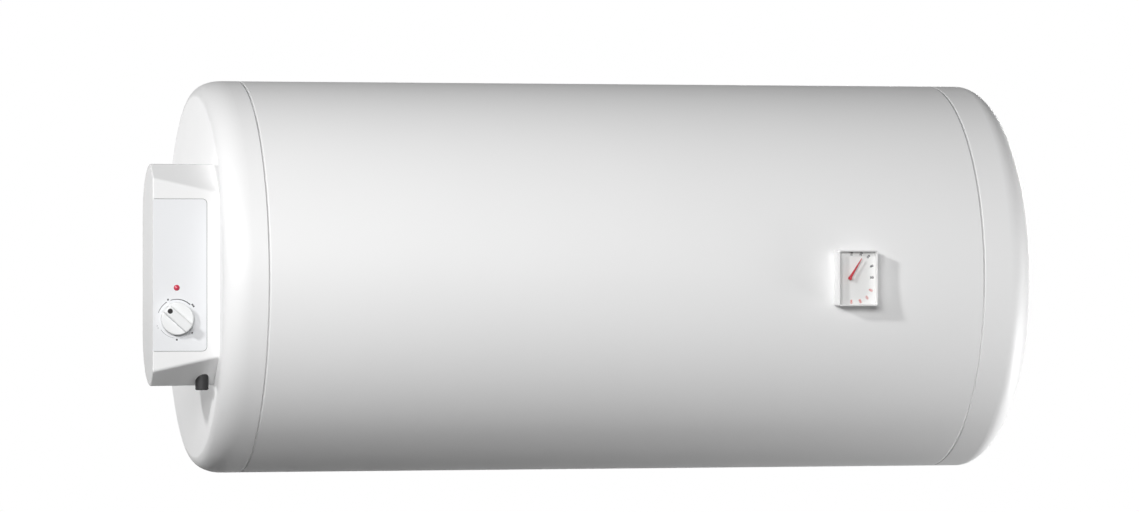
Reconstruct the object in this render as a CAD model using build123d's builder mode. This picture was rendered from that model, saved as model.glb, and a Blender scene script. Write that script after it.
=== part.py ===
from build123d import *
import os
from math import asin, atan2, cos, degrees, radians, sin, sqrt, tan

# Storage water heater of the 100 litre class, hung lying on a wall. Millimetres.
# X runs along the tank towards the domed end, Y runs to the wall and Z is up.
# The origin lies in the wall plane, at the centre of the four wall bolts.

os.makedirs("parts", exist_ok=True)

# Casing
jacket_diameter = 454.0
jacket_length = 837.0
jacket_wall = 1.0
jacket_edge_round = 0.4
wall_gap = 7.0
cap_wall = 3.0
cap_edge_round = 0.8
seam_gap = 0.8
spigot_length = 14.0
spigot_root = 8.0
spigot_wall = 2.2
spigot_clearance = 0.2
control_cap_depth = 50.0
rim_depth = 30.0
rim_height = 18.0
dome_collar = 33.0
knuckle_depth = 44.0
knuckle_height = 97.0
knuckle_sweep = 75.0

# Tank and foam
foam_thickness = 31.0
foam_clearance = 0.2
tank_wall = 2.0
tank_crown_radius = 468.0
tank_knuckle_radius = 30.0
tank_apex_inside = 13.5
tank_apex_outside = 36.5

# Control cover: a D seen from the end, rounder in front where it meets the cap
cover_length = 75.0
cover_depth = 79.0
cover_wall = 3.0
cover_front_margin = 29.0
cover_corner_margin = 5.1
cover_lift = 3.0
cover_facet_at_end = 16.7
cover_facet_at_foot = 33.0
cover_facet_lean = 52.0
cover_crease_round = 5.0
cover_edge_round = 1.2
cut_margin = 3.0

# Control panel, let into the front of the cover
panel_width = 61.0
panel_height = 170.7
panel_thickness = 1.2
panel_recess = 0.3
panel_gap = 0.45
panel_corner = 5.0
panel_end_corner = 1.5
knob_from_end = 27.0
knob_below_centre = 49.0
lamp_below_centre = 14.3

# Thermostat knob
knob_diameter = 37.0
knob_disc_height = 6.5
knob_bar_width = 12.5
knob_bar_height = 12.5
knob_panel_gap = 1.3
knob_edge_round = 1.2
knob_pointer_angle = 138.0
knob_wall = 2.0
knob_hub_radius = 5.5
knob_taper = 4.0
knob_bar_round = 1.8
knob_hole_radius = 4.5
shaft_radius = 3.0
shaft_clearance = 0.05
shaft_seat = 9.0
shaft_flat = 2.4
shaft_end_gap = 0.3
dot_radius = 2.9
dot_from_centre = 12.8
dot_depth = 0.4
dot_stand = 0.05

# Thermometer
gauge_from_centre = 261.0
gauge_drop = 1.0
gauge_width = 47.0
gauge_height = 64.0
gauge_stand = 19.0
gauge_skirt = 6.0
gauge_wall = 1.6
gauge_corner = 2.5
gauge_edge_round = 0.8
gauge_cavity = 9.0
gauge_fit = 0.1
dial_thickness = 0.8
window_thickness = 1.2
window_set_back = 0.4
pivot_from_centre = 9.1
needle_length = 26.5
needle_tail = 2.2
needle_base_width = 3.4
needle_tip_width = 0.7
needle_thickness = 0.8
needle_stand = 4.0
needle_angle = 58.0
needle_hub_radius = 2.3
needle_hub_height = 0.6
spindle_radius = 1.0
stem_radius = 4.0
stem_cover = 2.0
stem_bore_depth = 8.0
stem_hole_clearance = 0.5

# Heater flange
flange_radius = 55.0
flange_thickness = 5.0
flange_recess = 34.5
gasket_thickness = 3.0
ring_thickness = 8.0
neck_radius = 39.5
neck_wall = 3.5
neck_inside = 6.0
stud_count = 6
stud_circle_radius = 47.0
stud_radius = 4.0
stud_clearance = 0.3
stud_tip = 4.5
nut_across_flats = 13.0
nut_height = 6.5
thread_clearance = 0.05
recess_clearance = 5.0

# Heating elements, sensor pocket and anode, placed from the flange centre as (Y, Z)
element_radius = 4.25
element_legs = [(11.0, -22.0, 380.0), (22.0, -4.0, 330.0)]
element_stub = 6.0
bead_radius = 4.0
bead_length = 4.0
tab_width = 6.3
tab_thickness = 0.8
tab_length = 9.0
pocket_offset_z = 24.0
pocket_radius = 7.0
pocket_wall = 1.0
pocket_length = 300.0
pocket_lip = 2.0
bulb_radius = 3.0
bulb_length = 120.0
bulb_end_gap = 20.0
capillary_radius = 0.9
capillary_bend = 10.0
anode_offset_z = 2.0
anode_radius = 11.0
anode_before_bend = 30.0
anode_stud_radius = 4.0
anode_stud_tip = 12.0

# Water pipes
pipe_spacing = 100.0
pipe_from_flange = 72.0
pipe_radius = 10.65
thread_radius = 10.48
thread_length = 18.0
pipe_wall = 2.4
pipe_reach = 38.0
pipe_ring_radius = 16.0
pipe_ring_lip = 2.0
pipe_ring_plug = 14.0
pipe_ring_clearance = 0.15
inlet_inside = 22.0
outlet_inside = 70.0
outlet_bend = 40.0
outlet_air_gap = 8.0
diffuser_radius = 20.0
diffuser_wall = 1.5
diffuser_length = 26.0
diffuser_gap = 9.0
diffuser_window_from_end = 8.0
diffuser_window_length = 13.0
diffuser_window_height = 20.0

# Service cover over the flange
service_radius = 64.0
service_depth = 30.0
service_wall = 2.5
service_edge_round = 6.0
service_rim = 4.0
service_ear_radius = 7.0
service_ear_out = 72.0
service_gap = 13.0
small_screw_radius = 1.75
small_head_radius = 3.2
small_head_height = 2.0
small_slot_length = 4.5
screw_slot_width = 1.0
screw_slot_depth = 1.0

# Wall brackets and hanger posts
bracket_spacing = 550.0
bolt_spacing_z = 196.0
bracket_width = 56.0
bracket_height = 240.0
bracket_thickness = 3.0
seat_clearance = 0.15
bracket_saddle = 80.0
bracket_ear_start = 66.0
slot_length = 30.0
slot_width = 9.0
post_width = 48.0
post_height = 40.0
post_wall = 3.0
post_end_wall = 6.0
bracket_screw_spacing = 32.0
bracket_screw_radius = 3.0
bracket_screw_head = 6.0
bracket_screw_length = 12.0

# Control box contents
chassis_thickness = 2.0
chassis_inset = 4.5
wire_hole_radius = 12.0
wire_hole_z = 24.0
wire_hole_behind_front = 28.0
wire_channel_depth = 16.0
lug_width = 12.0
lug_reach = 20.0
lug_height = 5.5
lug_gap = 0.3
lug_slope_gap = 0.5
cover_screw_from_cap = 12.5
cover_screw_behind_nose = 13.0
cover_screw_radius = 1.9
cover_screw_clearance = 0.3
cover_head_radius = 3.6
cover_head_height = 2.0
cover_slot_length = 5.0
cover_head_sink = 0.4
cover_screw_length = 10.0
plate_thickness = 1.5
plate_behind_front = 10.0
plate_margin = 8.0
plate_end_gap = 8.0
plate_foot_depth = 26.0
thermostat_size = 30.0
thermostat_depth = 26.0
thermostat_corner = 3.0
cutout_width = 26.0
cutout_height = 22.0
cutout_depth = 20.0
cutout_above_centre = 36.0
button_radius = 3.0
button_clearance = 0.3
button_stand = 4.0
button_seat = 7.0
button_travel = 1.5
lens_radius = 3.3
lens_clearance = 0.1
lens_dome = 1.4
lamp_radius = 5.0
lamp_length = 16.0
lamp_before_plate = 2.0
lamp_hole_clearance = 0.3
block_size_x = 22.0
block_size_y = 24.0
block_size_z = 42.0
block_below_top = 38.6
block_above_plate = 2.0
block_ways = 3
block_pitch = 12.0
block_screw_radius = 3.0
block_screw_height = 3.0
block_screw_sink = 0.5
block_hole_clearance = 0.5
gland_radius = 7.5
gland_from_cap = 15.0
gland_behind_front = 29.0
gland_below = 5.0
gland_height = 26.0
gland_clearance = 0.1
gland_collar = 1.5
wire_radius = 1.3
wire_bend = 5.0
wire_level = 8.5
wire_level_step = 3.0
wire_row_low = -6.0
wire_row_high = 7.0
wire_turn_in = 46.0
wire_spread = 4.0
wire_pitch = 6.5
link_side_step = 8.0
supply_side_step = 11.25
supply_below_block = 16.0
earth_stud = 2

# Places that follow from the sizes above
jacket_r = jacket_diameter / 2
axis_y = -(jacket_r + wall_gap)
seam_left = -jacket_length / 2
seam_right = jacket_length / 2
cap_face_x = seam_left - control_cap_depth
face_r = jacket_r - rim_height
tank_r = jacket_r - jacket_wall - foam_thickness
tank_inner_r = tank_r - tank_wall
crown_lean = asin((tank_r - tank_knuckle_radius) / (tank_crown_radius - tank_knuckle_radius))
tank_dish = tank_crown_radius - (tank_crown_radius - tank_knuckle_radius) * cos(crown_lean)
tank_left = seam_left + tank_apex_inside + tank_dish
tank_right = seam_right + tank_apex_outside - tank_dish
axial_plane = Plane(origin=(0, axis_y, 0), x_dir=(1, 0, 0), z_dir=(0, -1, 0))
tank_axis = Axis((0, axis_y, 0), (1, 0, 0))

cover_end_x = cap_face_x - cover_length
cover_front_y = axis_y - (face_r - cover_front_margin)
cover_rear_y = cover_front_y + cover_depth
cover_nose_at_end = cover_facet_at_end * tan(radians(cover_facet_lean))
cover_nose_at_foot = cover_facet_at_foot * tan(radians(cover_facet_lean))
foot_reach = axis_y - cover_front_y - cover_nose_at_end
cover_half = sqrt((face_r - cover_corner_margin) ** 2 - foot_reach**2) - cover_lift

flange_y = cover_rear_y + service_gap + service_radius + service_rim
recess_r = flange_radius + recess_clearance
ear_places = [(flange_y, service_ear_out), (flange_y, -service_ear_out)]
pipe_y = flange_y + pipe_from_flange
inlet_z = -pipe_spacing / 2
outlet_z = pipe_spacing / 2
pipe_places = [(pipe_y, inlet_z), (pipe_y, outlet_z)]
flange_face_x = cap_face_x + flange_recess
ring_face_x = flange_face_x + flange_thickness + gasket_thickness
ring_back_x = ring_face_x + ring_thickness
pipe_end_x = cap_face_x - pipe_reach

knob_x = cover_end_x + knob_from_end
panel_z = cover_lift
knob_z = panel_z - knob_below_centre
lamp_z = panel_z - lamp_below_centre
panel_front_y = cover_front_y + panel_recess
panel_back_y = panel_front_y + panel_thickness
plate_y = cover_front_y + plate_behind_front
wire_hole_y = cover_front_y + wire_hole_behind_front

bracket_places = [(-bracket_spacing / 2, 0), (bracket_spacing / 2, 0)]
screw_step = bracket_screw_spacing / 2
bracket_screw_places = [(x + side * screw_step, z) for x, z in bracket_places for side in (-1, 1)]
saddle_y = axis_y + jacket_r + seat_clearance + bracket_thickness

gauge_x = gauge_from_centre
gauge_z = -gauge_drop
gauge_front_y = axis_y - jacket_r - gauge_stand
gauge_floor_y = gauge_front_y + gauge_cavity
pivot_x = gauge_x - pivot_from_centre


def front_plane(y):
    """The plane of the given Y, seen from the front: X to the right, Z up."""
    return Plane.XZ.offset(-y)


def turned_plane(x, y, z, angle):
    """A plane seen from the front, at a point, with its X turned up by the given angle."""
    return Plane(origin=(x, y, z), x_dir=(cos(radians(angle)), 0, sin(radians(angle))), z_dir=(0, -1, 0))


def dish_outline(start_x, side, inset):
    """Outline of a dished tank end, bulging to the given side, from its rim to the tank axis."""
    crown = tank_crown_radius - inset
    knuckle = tank_knuckle_radius - inset
    centre_x = start_x + side * (tank_dish - tank_crown_radius)
    lean = degrees(crown_lean)
    knuckle_centre = (start_x, tank_r - tank_knuckle_radius)
    if side > 0:
        CenterArc(knuckle_centre, knuckle, lean, 90 - lean)
        CenterArc((centre_x, 0), crown, 0, lean)
    else:
        CenterArc(knuckle_centre, knuckle, 90, 90 - lean)
        CenterArc((centre_x, 0), crown, 180 - lean, lean)
    return centre_x + side * crown


def dish_x(y, z):
    """X of the control end's outer crown at the given Y and Z."""
    centre_x = tank_left - tank_dish + tank_crown_radius
    return centre_x - sqrt(tank_crown_radius**2 - (y - axis_y) ** 2 - z**2)


def control_outline(inset, start_x):
    """Outline of the control end cap from start_x to the tank axis, inset from the outside."""
    rim_x = cap_face_x + rim_depth
    Line((start_x, jacket_r - inset), (rim_x, jacket_r - inset))
    EllipticalCenterArc((rim_x, face_r), rim_depth - inset, rim_height - inset, 90, arc_size=90)
    Line((cap_face_x + inset, face_r), (cap_face_x + inset, 0))


def dome_outline(inset, start_x):
    """Outline of the domed end from start_x to the tank axis, inset from the outside."""
    collar_x = seam_right + dome_collar
    centre_r = jacket_r - knuckle_height
    depth = knuckle_depth - inset
    height = knuckle_height - inset
    sweep = radians(knuckle_sweep)
    foot = (collar_x + depth * sin(sweep), centre_r + height * cos(sweep))
    lean = atan2(depth * cos(sweep), height * sin(sweep))
    crown_radius = foot[1] / sin(lean)
    apex = foot[0] + crown_radius * (1 - cos(lean))
    Line((start_x, jacket_r - inset), (collar_x, jacket_r - inset))
    EllipticalCenterArc((collar_x, centre_r), depth, height, 90 - knuckle_sweep, arc_size=knuckle_sweep)
    RadiusArc(foot, (apex, 0), crown_radius)
    return apex


def cover_facet(x):
    """Height of the slanted facet at the cover's top and bottom, at the given X."""
    share = (cap_face_x - x) / cover_length
    return cover_facet_at_foot + share * (cover_facet_at_end - cover_facet_at_foot)


def cover_nose(x):
    """Depth of the slanted facet at the given X."""
    return cover_facet(x) * tan(radians(cover_facet_lean))


def cover_section(x, inset):
    """Section of the control cover at the given X, inset from its outside."""
    nose = cover_nose(x)
    rear = cover_depth - nose
    half = cover_half - cover_facet(x)
    nose_y = cover_front_y + nose
    top = cover_lift + cover_half
    bottom = cover_lift - cover_half
    with BuildSketch() as section:
        with BuildLine():
            Polyline((nose_y, bottom), (cover_front_y, cover_lift - half), (cover_front_y, cover_lift + half),
                     (nose_y, top))
            CenterArc((nose_y, top - rear), rear, 0, 90)
            Line((nose_y + rear, top - rear), (nose_y + rear, bottom + rear))
            CenterArc((nose_y, bottom + rear), rear, 270, 90)
        make_face()
        fillet(section.vertices().group_by(Axis.X)[0], cover_crease_round)
        fillet(section.vertices().group_by(Axis.Y)[0], cover_crease_round)
        fillet(section.vertices().group_by(Axis.Y)[-1], cover_crease_round)
        if inset > 0:
            offset(amount=-inset, kind=Kind.ARC)
    return section.sketch


def cover_skin_z(x, y, side):
    """Z of the cover's rounded top (side 1) or bottom (side -1), behind its facet."""
    nose = cover_nose(x)
    rear = cover_depth - nose
    back = y - (cover_front_y + nose)
    return cover_lift + side * (cover_half - rear + sqrt(rear**2 - back**2))


# Casing

with BuildPart() as outer_jacket:
    with BuildSketch(Plane.YZ.offset(seam_left + seam_gap / 2)):
        with Locations((axis_y, 0)):
            Circle(jacket_r)
            Circle(jacket_r - jacket_wall, mode=Mode.SUBTRACT)
    extrude(amount=jacket_length - seam_gap)
    rims = outer_jacket.edges().filter_by(GeomType.CIRCLE)
    fillet(rims.filter_by(lambda edge: edge.radius > jacket_r - jacket_wall / 2), jacket_edge_round)
    with BuildSketch(front_plane(axis_y)):
        with Locations((pivot_x, gauge_z)):
            Circle(stem_radius + stem_hole_clearance)
    extrude(amount=jacket_diameter, mode=Mode.SUBTRACT)
    with BuildSketch(front_plane(axis_y)):
        with Locations(*bracket_screw_places):
            Circle(bracket_screw_radius)
    extrude(amount=-jacket_diameter, mode=Mode.SUBTRACT)
outer_jacket.part.label = "outer_jacket"
export_step(outer_jacket.part, "parts/outer_jacket.step")

spigot_outer_r = jacket_r - jacket_wall - spigot_clearance
spigot_inner_r = spigot_outer_r - spigot_wall

with BuildPart() as control_end_cap:
    cap_edge_x = seam_left - seam_gap / 2
    with BuildSketch(axial_plane):
        with BuildLine():
            control_outline(0, cap_edge_x)
            control_outline(cap_wall, cap_edge_x)
            Line((cap_edge_x, jacket_r), (cap_edge_x, jacket_r - cap_wall))
            Line((cap_face_x, 0), (cap_face_x + cap_wall, 0))
        make_face()
        with BuildLine():
            Polyline((seam_left - spigot_root, spigot_inner_r), (seam_left + spigot_length, spigot_inner_r),
                     (seam_left + spigot_length, spigot_outer_r), (seam_left - spigot_root, spigot_outer_r),
                     close=True)
        make_face()
    revolve(axis=tank_axis)
    seam_edge = control_end_cap.edges().filter_by(GeomType.CIRCLE)
    seam_edge = seam_edge.filter_by(lambda edge: abs(edge.radius - jacket_r) < spigot_clearance)
    fillet(seam_edge.sort_by(Axis.X)[-1], cap_edge_round)
    with BuildSketch(Plane.YZ.offset(cap_face_x)):
        with Locations((flange_y, 0)):
            Circle(recess_r)
        with Locations(*pipe_places):
            Circle(pipe_ring_plug + pipe_ring_clearance)
        with Locations((wire_hole_y, wire_hole_z)):
            Circle(wire_hole_radius)
        with Locations(*ear_places):
            Circle(small_screw_radius)
    extrude(amount=cap_wall, mode=Mode.SUBTRACT)
control_end_cap.part.label = "control_end_cap"
export_step(control_end_cap.part, "parts/control_end_cap.step")

with BuildPart() as dome_end_cap:
    dome_edge_x = seam_right + seam_gap / 2
    with BuildSketch(axial_plane):
        with BuildLine():
            outer_apex = dome_outline(0, dome_edge_x)
            inner_apex = dome_outline(cap_wall, dome_edge_x)
            Line((dome_edge_x, jacket_r), (dome_edge_x, jacket_r - cap_wall))
            Line((outer_apex, 0), (inner_apex, 0))
        make_face()
        with BuildLine():
            Polyline((seam_right - spigot_length, spigot_inner_r), (seam_right + spigot_root, spigot_inner_r),
                     (seam_right + spigot_root, spigot_outer_r), (seam_right - spigot_length, spigot_outer_r),
                     close=True)
        make_face()
    revolve(axis=tank_axis)
    seam_edge = dome_end_cap.edges().filter_by(GeomType.CIRCLE)
    seam_edge = seam_edge.filter_by(lambda edge: abs(edge.radius - jacket_r) < spigot_clearance)
    fillet(seam_edge.sort_by(Axis.X)[0], cap_edge_round)
dome_end_cap.part.label = "dome_end_cap"
export_step(dome_end_cap.part, "parts/dome_end_cap.step")

# Inner tank

with BuildPart() as tank_shell:
    with BuildSketch(Plane.YZ.offset(tank_left)):
        with Locations((axis_y, 0)):
            Circle(tank_r)
            Circle(tank_inner_r, mode=Mode.SUBTRACT)
    extrude(amount=tank_right - tank_left)
tank_shell.part.label = "tank_shell"
export_step(tank_shell.part, "parts/tank_shell.step")



def build_tank_end(start_x, side):
    """Dished end of the tank that bulges to the given side from start_x."""
    with BuildPart() as tank_end:
        with BuildSketch(axial_plane):
            with BuildLine():
                outer_end = dish_outline(start_x, side, 0)
                inner_end = dish_outline(start_x, side, tank_wall)
                Line((start_x, tank_r), (start_x, tank_inner_r))
                Line((outer_end, 0), (inner_end, 0))
            make_face()
        revolve(axis=tank_axis)
    return tank_end


with BuildPart() as tank_end_control:
    add(build_tank_end(tank_left, -1).part)
    with BuildSketch(Plane.YZ.offset(tank_left)):
        with Locations((flange_y, 0)):
            Circle(neck_radius)
        with Locations(*pipe_places):
            Circle(pipe_radius)
    extrude(amount=-tank_dish, mode=Mode.SUBTRACT)
tank_end_control.part.label = "tank_end_control"
export_step(tank_end_control.part, "parts/tank_end_control.step")

tank_end_dome = build_tank_end(tank_right, 1)
tank_end_dome.part.label = "tank_end_dome"
export_step(tank_end_dome.part, "parts/tank_end_dome.step")

# Foam between the tank and the casing

foam_end_inset = jacket_wall + spigot_clearance + spigot_wall + foam_clearance

with BuildPart() as foam_insulation:
    with BuildSketch(axial_plane):
        with BuildLine():
            control_outline(foam_end_inset, 0)
            foam_apex = dome_outline(foam_end_inset, 0)
            Line((cap_face_x + foam_end_inset, 0), (foam_apex, 0))
        make_face()
        with BuildLine():
            middle = [seam_left + spigot_length + foam_clearance, seam_right - spigot_length - foam_clearance]
            step = [jacket_r - foam_end_inset, jacket_r - jacket_wall - foam_clearance]
            Polyline((middle[0], step[0]), (middle[0], step[1]), (middle[1], step[1]), (middle[1], step[0]),
                     close=True)
        make_face()
    revolve(axis=tank_axis)
    with BuildSketch(Plane.YZ.offset(cap_face_x)):
        with Locations((flange_y, 0)):
            Circle(recess_r)
    extrude(amount=ring_back_x + foam_clearance - cap_face_x, mode=Mode.SUBTRACT)
    with BuildSketch(Plane.YZ.offset(cap_face_x)):
        with Locations((flange_y, 0)):
            Circle(neck_radius + foam_clearance)
        with Locations(*pipe_places):
            Circle(pipe_radius + foam_clearance)
    extrude(amount=tank_left - cap_face_x, mode=Mode.SUBTRACT)
    with BuildSketch(Plane.YZ.offset(cap_face_x)):
        with Locations(*pipe_places):
            Circle(pipe_ring_plug + pipe_ring_clearance)
    extrude(amount=foam_end_inset + pipe_ring_lip, mode=Mode.SUBTRACT)
    with BuildSketch(Plane.YZ.offset(cap_face_x)):
        with Locations(((flange_y + wire_hole_y) / 2, wire_hole_z)):
            Rectangle(flange_y - wire_hole_y + 2 * wire_hole_radius, 2 * wire_hole_radius)
    extrude(amount=cap_wall + wire_channel_depth, mode=Mode.SUBTRACT)
    with BuildSketch(front_plane(axis_y)):
        with Locations((pivot_x, gauge_z)):
            Circle(stem_radius + foam_clearance)
    extrude(amount=jacket_diameter, mode=Mode.SUBTRACT)
    with BuildSketch(front_plane(axis_y)):
        with Locations(*bracket_places):
            Rectangle(post_width + 2 * foam_clearance, post_height + 2 * foam_clearance)
    extrude(amount=-jacket_diameter, mode=Mode.SUBTRACT)
    with BuildSketch(axial_plane):
        with BuildLine():
            left_end = dish_outline(tank_left, -1, -foam_clearance)
            right_end = dish_outline(tank_right, 1, -foam_clearance)
            Line((tank_left, tank_r + foam_clearance), (tank_right, tank_r + foam_clearance))
            Line((left_end, 0), (right_end, 0))
        make_face()
    revolve(axis=tank_axis, mode=Mode.SUBTRACT)
foam_insulation.part.label = "foam_insulation"
export_step(foam_insulation.part, "parts/foam_insulation.step")

# Flange on the control end of the tank

neck_inner_r = neck_radius - neck_wall
neck_end_x = dish_x(flange_y, 0) + neck_inside

with BuildPart() as flange_neck:
    with BuildSketch(Plane.YZ.offset(ring_face_x)):
        with Locations((flange_y, 0)):
            Circle(flange_radius)
            Circle(neck_inner_r, mode=Mode.SUBTRACT)
    extrude(amount=ring_thickness)
    with BuildSketch(Plane.YZ.offset(ring_face_x)):
        with Locations((flange_y, 0)):
            Circle(neck_radius)
            Circle(neck_inner_r, mode=Mode.SUBTRACT)
    extrude(amount=neck_end_x - ring_face_x)
flange_neck.part.label = "flange_neck"
export_step(flange_neck.part, "parts/flange_neck.step")

with BuildPart() as flange_gasket:
    with BuildSketch(Plane.YZ.offset(flange_face_x + flange_thickness)):
        with Locations((flange_y, 0)):
            Circle(flange_radius)
            Circle(neck_inner_r, mode=Mode.SUBTRACT)
            with PolarLocations(stud_circle_radius, stud_count):
                Circle(stud_radius + stud_clearance, mode=Mode.SUBTRACT)
    extrude(amount=gasket_thickness)
flange_gasket.part.label = "flange_gasket"
export_step(flange_gasket.part, "parts/flange_gasket.step")

element_ends = []
for half_pitch, leg_z, leg_length in element_legs:
    element_ends.append((flange_y - half_pitch, leg_z))
    element_ends.append((flange_y + half_pitch, leg_z))

with BuildPart() as heater_flange:
    with BuildSketch(Plane.YZ.offset(flange_face_x)):
        with Locations((flange_y, 0)):
            Circle(flange_radius)
            with PolarLocations(stud_circle_radius, stud_count):
                Circle(stud_radius + stud_clearance, mode=Mode.SUBTRACT)
        with Locations(*element_ends):
            Circle(element_radius, mode=Mode.SUBTRACT)
        with Locations((flange_y, pocket_offset_z)):
            Circle(pocket_radius, mode=Mode.SUBTRACT)
        with Locations((flange_y, anode_offset_z)):
            Circle(anode_stud_radius, mode=Mode.SUBTRACT)
    extrude(amount=flange_thickness)
heater_flange.part.label = "heater_flange"
export_step(heater_flange.part, "parts/heater_flange.step")

stud_end_x = flange_face_x - nut_height - stud_tip

with BuildPart() as flange_studs:
    with BuildSketch(Plane.YZ.offset(stud_end_x)):
        with Locations((flange_y, 0)):
            with PolarLocations(stud_circle_radius, stud_count):
                Circle(stud_radius)
    extrude(amount=ring_face_x - stud_end_x)
flange_studs.part.label = "flange_studs"
export_step(flange_studs.part, "parts/flange_studs.step")

with BuildPart() as flange_nuts:
    with BuildSketch(Plane.YZ.offset(flange_face_x - nut_height)):
        with Locations((flange_y, 0)):
            with PolarLocations(stud_circle_radius, stud_count):
                RegularPolygon(nut_across_flats / 2, 6, major_radius=False)
                Circle(stud_radius + thread_clearance, mode=Mode.SUBTRACT)
    extrude(amount=nut_height)
flange_nuts.part.label = "flange_nuts"
export_step(flange_nuts.part, "parts/flange_nuts.step")

with BuildPart() as heating_elements:
    for half_pitch, leg_z, leg_length in element_legs:
        start_x = flange_face_x - element_stub
        bend_x = flange_face_x + leg_length
        with BuildLine(Plane.XY.offset(leg_z)) as hairpin:
            Line((start_x, flange_y - half_pitch), (bend_x, flange_y - half_pitch))
            CenterArc((bend_x, flange_y), half_pitch, -90, 180)
            Line((bend_x, flange_y + half_pitch), (start_x, flange_y + half_pitch))
        with BuildSketch(Plane(origin=(start_x, flange_y - half_pitch, leg_z), z_dir=(1, 0, 0))):
            Circle(element_radius)
        sweep(path=hairpin.line)
heating_elements.part.label = "heating_elements"
export_step(heating_elements.part, "parts/heating_elements.step")

bead_x = flange_face_x - element_stub - bead_length
tab_x = bead_x - tab_length

with BuildPart() as element_terminals:
    with BuildSketch(Plane.YZ.offset(bead_x)):
        with Locations(*element_ends):
            Circle(bead_radius)
    extrude(amount=bead_length)
    with BuildSketch(Plane.YZ.offset(tab_x)):
        with Locations(*element_ends):
            Rectangle(tab_width, tab_thickness)
    extrude(amount=tab_length)
element_terminals.part.label = "element_terminals"
export_step(element_terminals.part, "parts/element_terminals.step")

pocket_mouth_x = flange_face_x - pocket_lip

with BuildPart() as sensor_pocket:
    with BuildSketch(Plane.YZ.offset(pocket_mouth_x)):
        with Locations((flange_y, pocket_offset_z)):
            Circle(pocket_radius)
    extrude(amount=pocket_length)
    with BuildSketch(Plane.YZ.offset(pocket_mouth_x)):
        with Locations((flange_y, pocket_offset_z)):
            Circle(pocket_radius - pocket_wall)
    extrude(amount=pocket_length - pocket_wall, mode=Mode.SUBTRACT)
sensor_pocket.part.label = "sensor_pocket"
export_step(sensor_pocket.part, "parts/sensor_pocket.step")

anode_length = element_legs[-1][2] - anode_before_bend

with BuildPart() as magnesium_anode:
    with BuildSketch(Plane.YZ.offset(flange_face_x + flange_thickness)):
        with Locations((flange_y, anode_offset_z)):
            Circle(anode_radius)
    extrude(amount=anode_length)
    with BuildSketch(Plane.YZ.offset(flange_face_x - anode_stud_tip)):
        with Locations((flange_y, anode_offset_z)):
            Circle(anode_stud_radius)
    extrude(amount=anode_stud_tip + flange_thickness)
magnesium_anode.part.label = "magnesium_anode"
export_step(magnesium_anode.part, "parts/magnesium_anode.step")

with BuildPart() as anode_nut:
    with BuildSketch(Plane.YZ.offset(flange_face_x - nut_height)):
        with Locations((flange_y, anode_offset_z)):
            RegularPolygon(nut_across_flats / 2, 6, major_radius=False)
            Circle(anode_stud_radius + thread_clearance, mode=Mode.SUBTRACT)
    extrude(amount=nut_height)
anode_nut.part.label = "anode_nut"
export_step(anode_nut.part, "parts/anode_nut.step")

# Water pipes, each through its coloured ring in the cap

pipe_dish_x = dish_x(pipe_y, outlet_z)
thread_x = pipe_end_x + thread_length


def pipe_section(y, z, radius):
    """Sketch of a pipe's wall, with the given outside radius, round the given place."""
    with Locations((y, z)):
        Circle(radius)
        Circle(pipe_radius - pipe_wall, mode=Mode.SUBTRACT)


with BuildPart() as inlet_pipe:
    with BuildSketch(Plane.YZ.offset(pipe_end_x)):
        pipe_section(pipe_y, inlet_z, thread_radius)
    extrude(amount=thread_length)
    with BuildSketch(Plane.YZ.offset(thread_x)):
        pipe_section(pipe_y, inlet_z, pipe_radius)
    extrude(amount=pipe_dish_x + inlet_inside - thread_x)
inlet_pipe.part.label = "inlet_pipe"
export_step(inlet_pipe.part, "parts/inlet_pipe.step")

outlet_top = sqrt(tank_inner_r**2 - (pipe_y - axis_y) ** 2) - outlet_air_gap - pipe_radius

with BuildPart() as outlet_pipe:
    with BuildSketch(Plane.YZ.offset(pipe_end_x)):
        pipe_section(pipe_y, outlet_z, thread_radius)
    extrude(amount=thread_length)
    bend_x = pipe_dish_x + outlet_inside
    with BuildLine(Plane.XZ.offset(-pipe_y)) as outlet_route:
        Line((thread_x, outlet_z), (bend_x, outlet_z))
        CenterArc((bend_x, outlet_z + outlet_bend), outlet_bend, -90, 90)
        Line((bend_x + outlet_bend, outlet_z + outlet_bend), (bend_x + outlet_bend, outlet_top))
    with BuildSketch(Plane(origin=(thread_x, pipe_y, outlet_z), z_dir=(1, 0, 0))):
        pipe_section(0, 0, pipe_radius)
    sweep(path=outlet_route.line)
outlet_pipe.part.label = "outlet_pipe"
export_step(outlet_pipe.part, "parts/outlet_pipe.step")


def build_pipe_ring(z):
    """Ring round the pipe at the given Z: a lip on the cap's face and a plug through it."""
    with BuildPart() as ring:
        with BuildSketch(Plane.YZ.offset(cap_face_x - pipe_ring_lip)):
            with Locations((pipe_y, z)):
                Circle(pipe_ring_radius)
        extrude(amount=pipe_ring_lip)
        with BuildSketch(Plane.YZ.offset(cap_face_x)):
            with Locations((pipe_y, z)):
                Circle(pipe_ring_plug)
        extrude(amount=cap_wall + pipe_ring_lip)
        with BuildSketch(Plane.YZ.offset(cap_face_x - pipe_ring_lip)):
            with Locations((pipe_y, z)):
                Circle(pipe_radius + pipe_ring_clearance)
        extrude(amount=cap_wall + 2 * pipe_ring_lip, mode=Mode.SUBTRACT)
    return ring


inlet_ring = build_pipe_ring(inlet_z)
inlet_ring.part.label = "inlet_ring"
export_step(inlet_ring.part, "parts/inlet_ring.step")

outlet_ring = build_pipe_ring(outlet_z)
outlet_ring.part.label = "outlet_ring"
export_step(outlet_ring.part, "parts/outlet_ring.step")

inlet_tip_x = pipe_dish_x + inlet_inside

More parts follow.
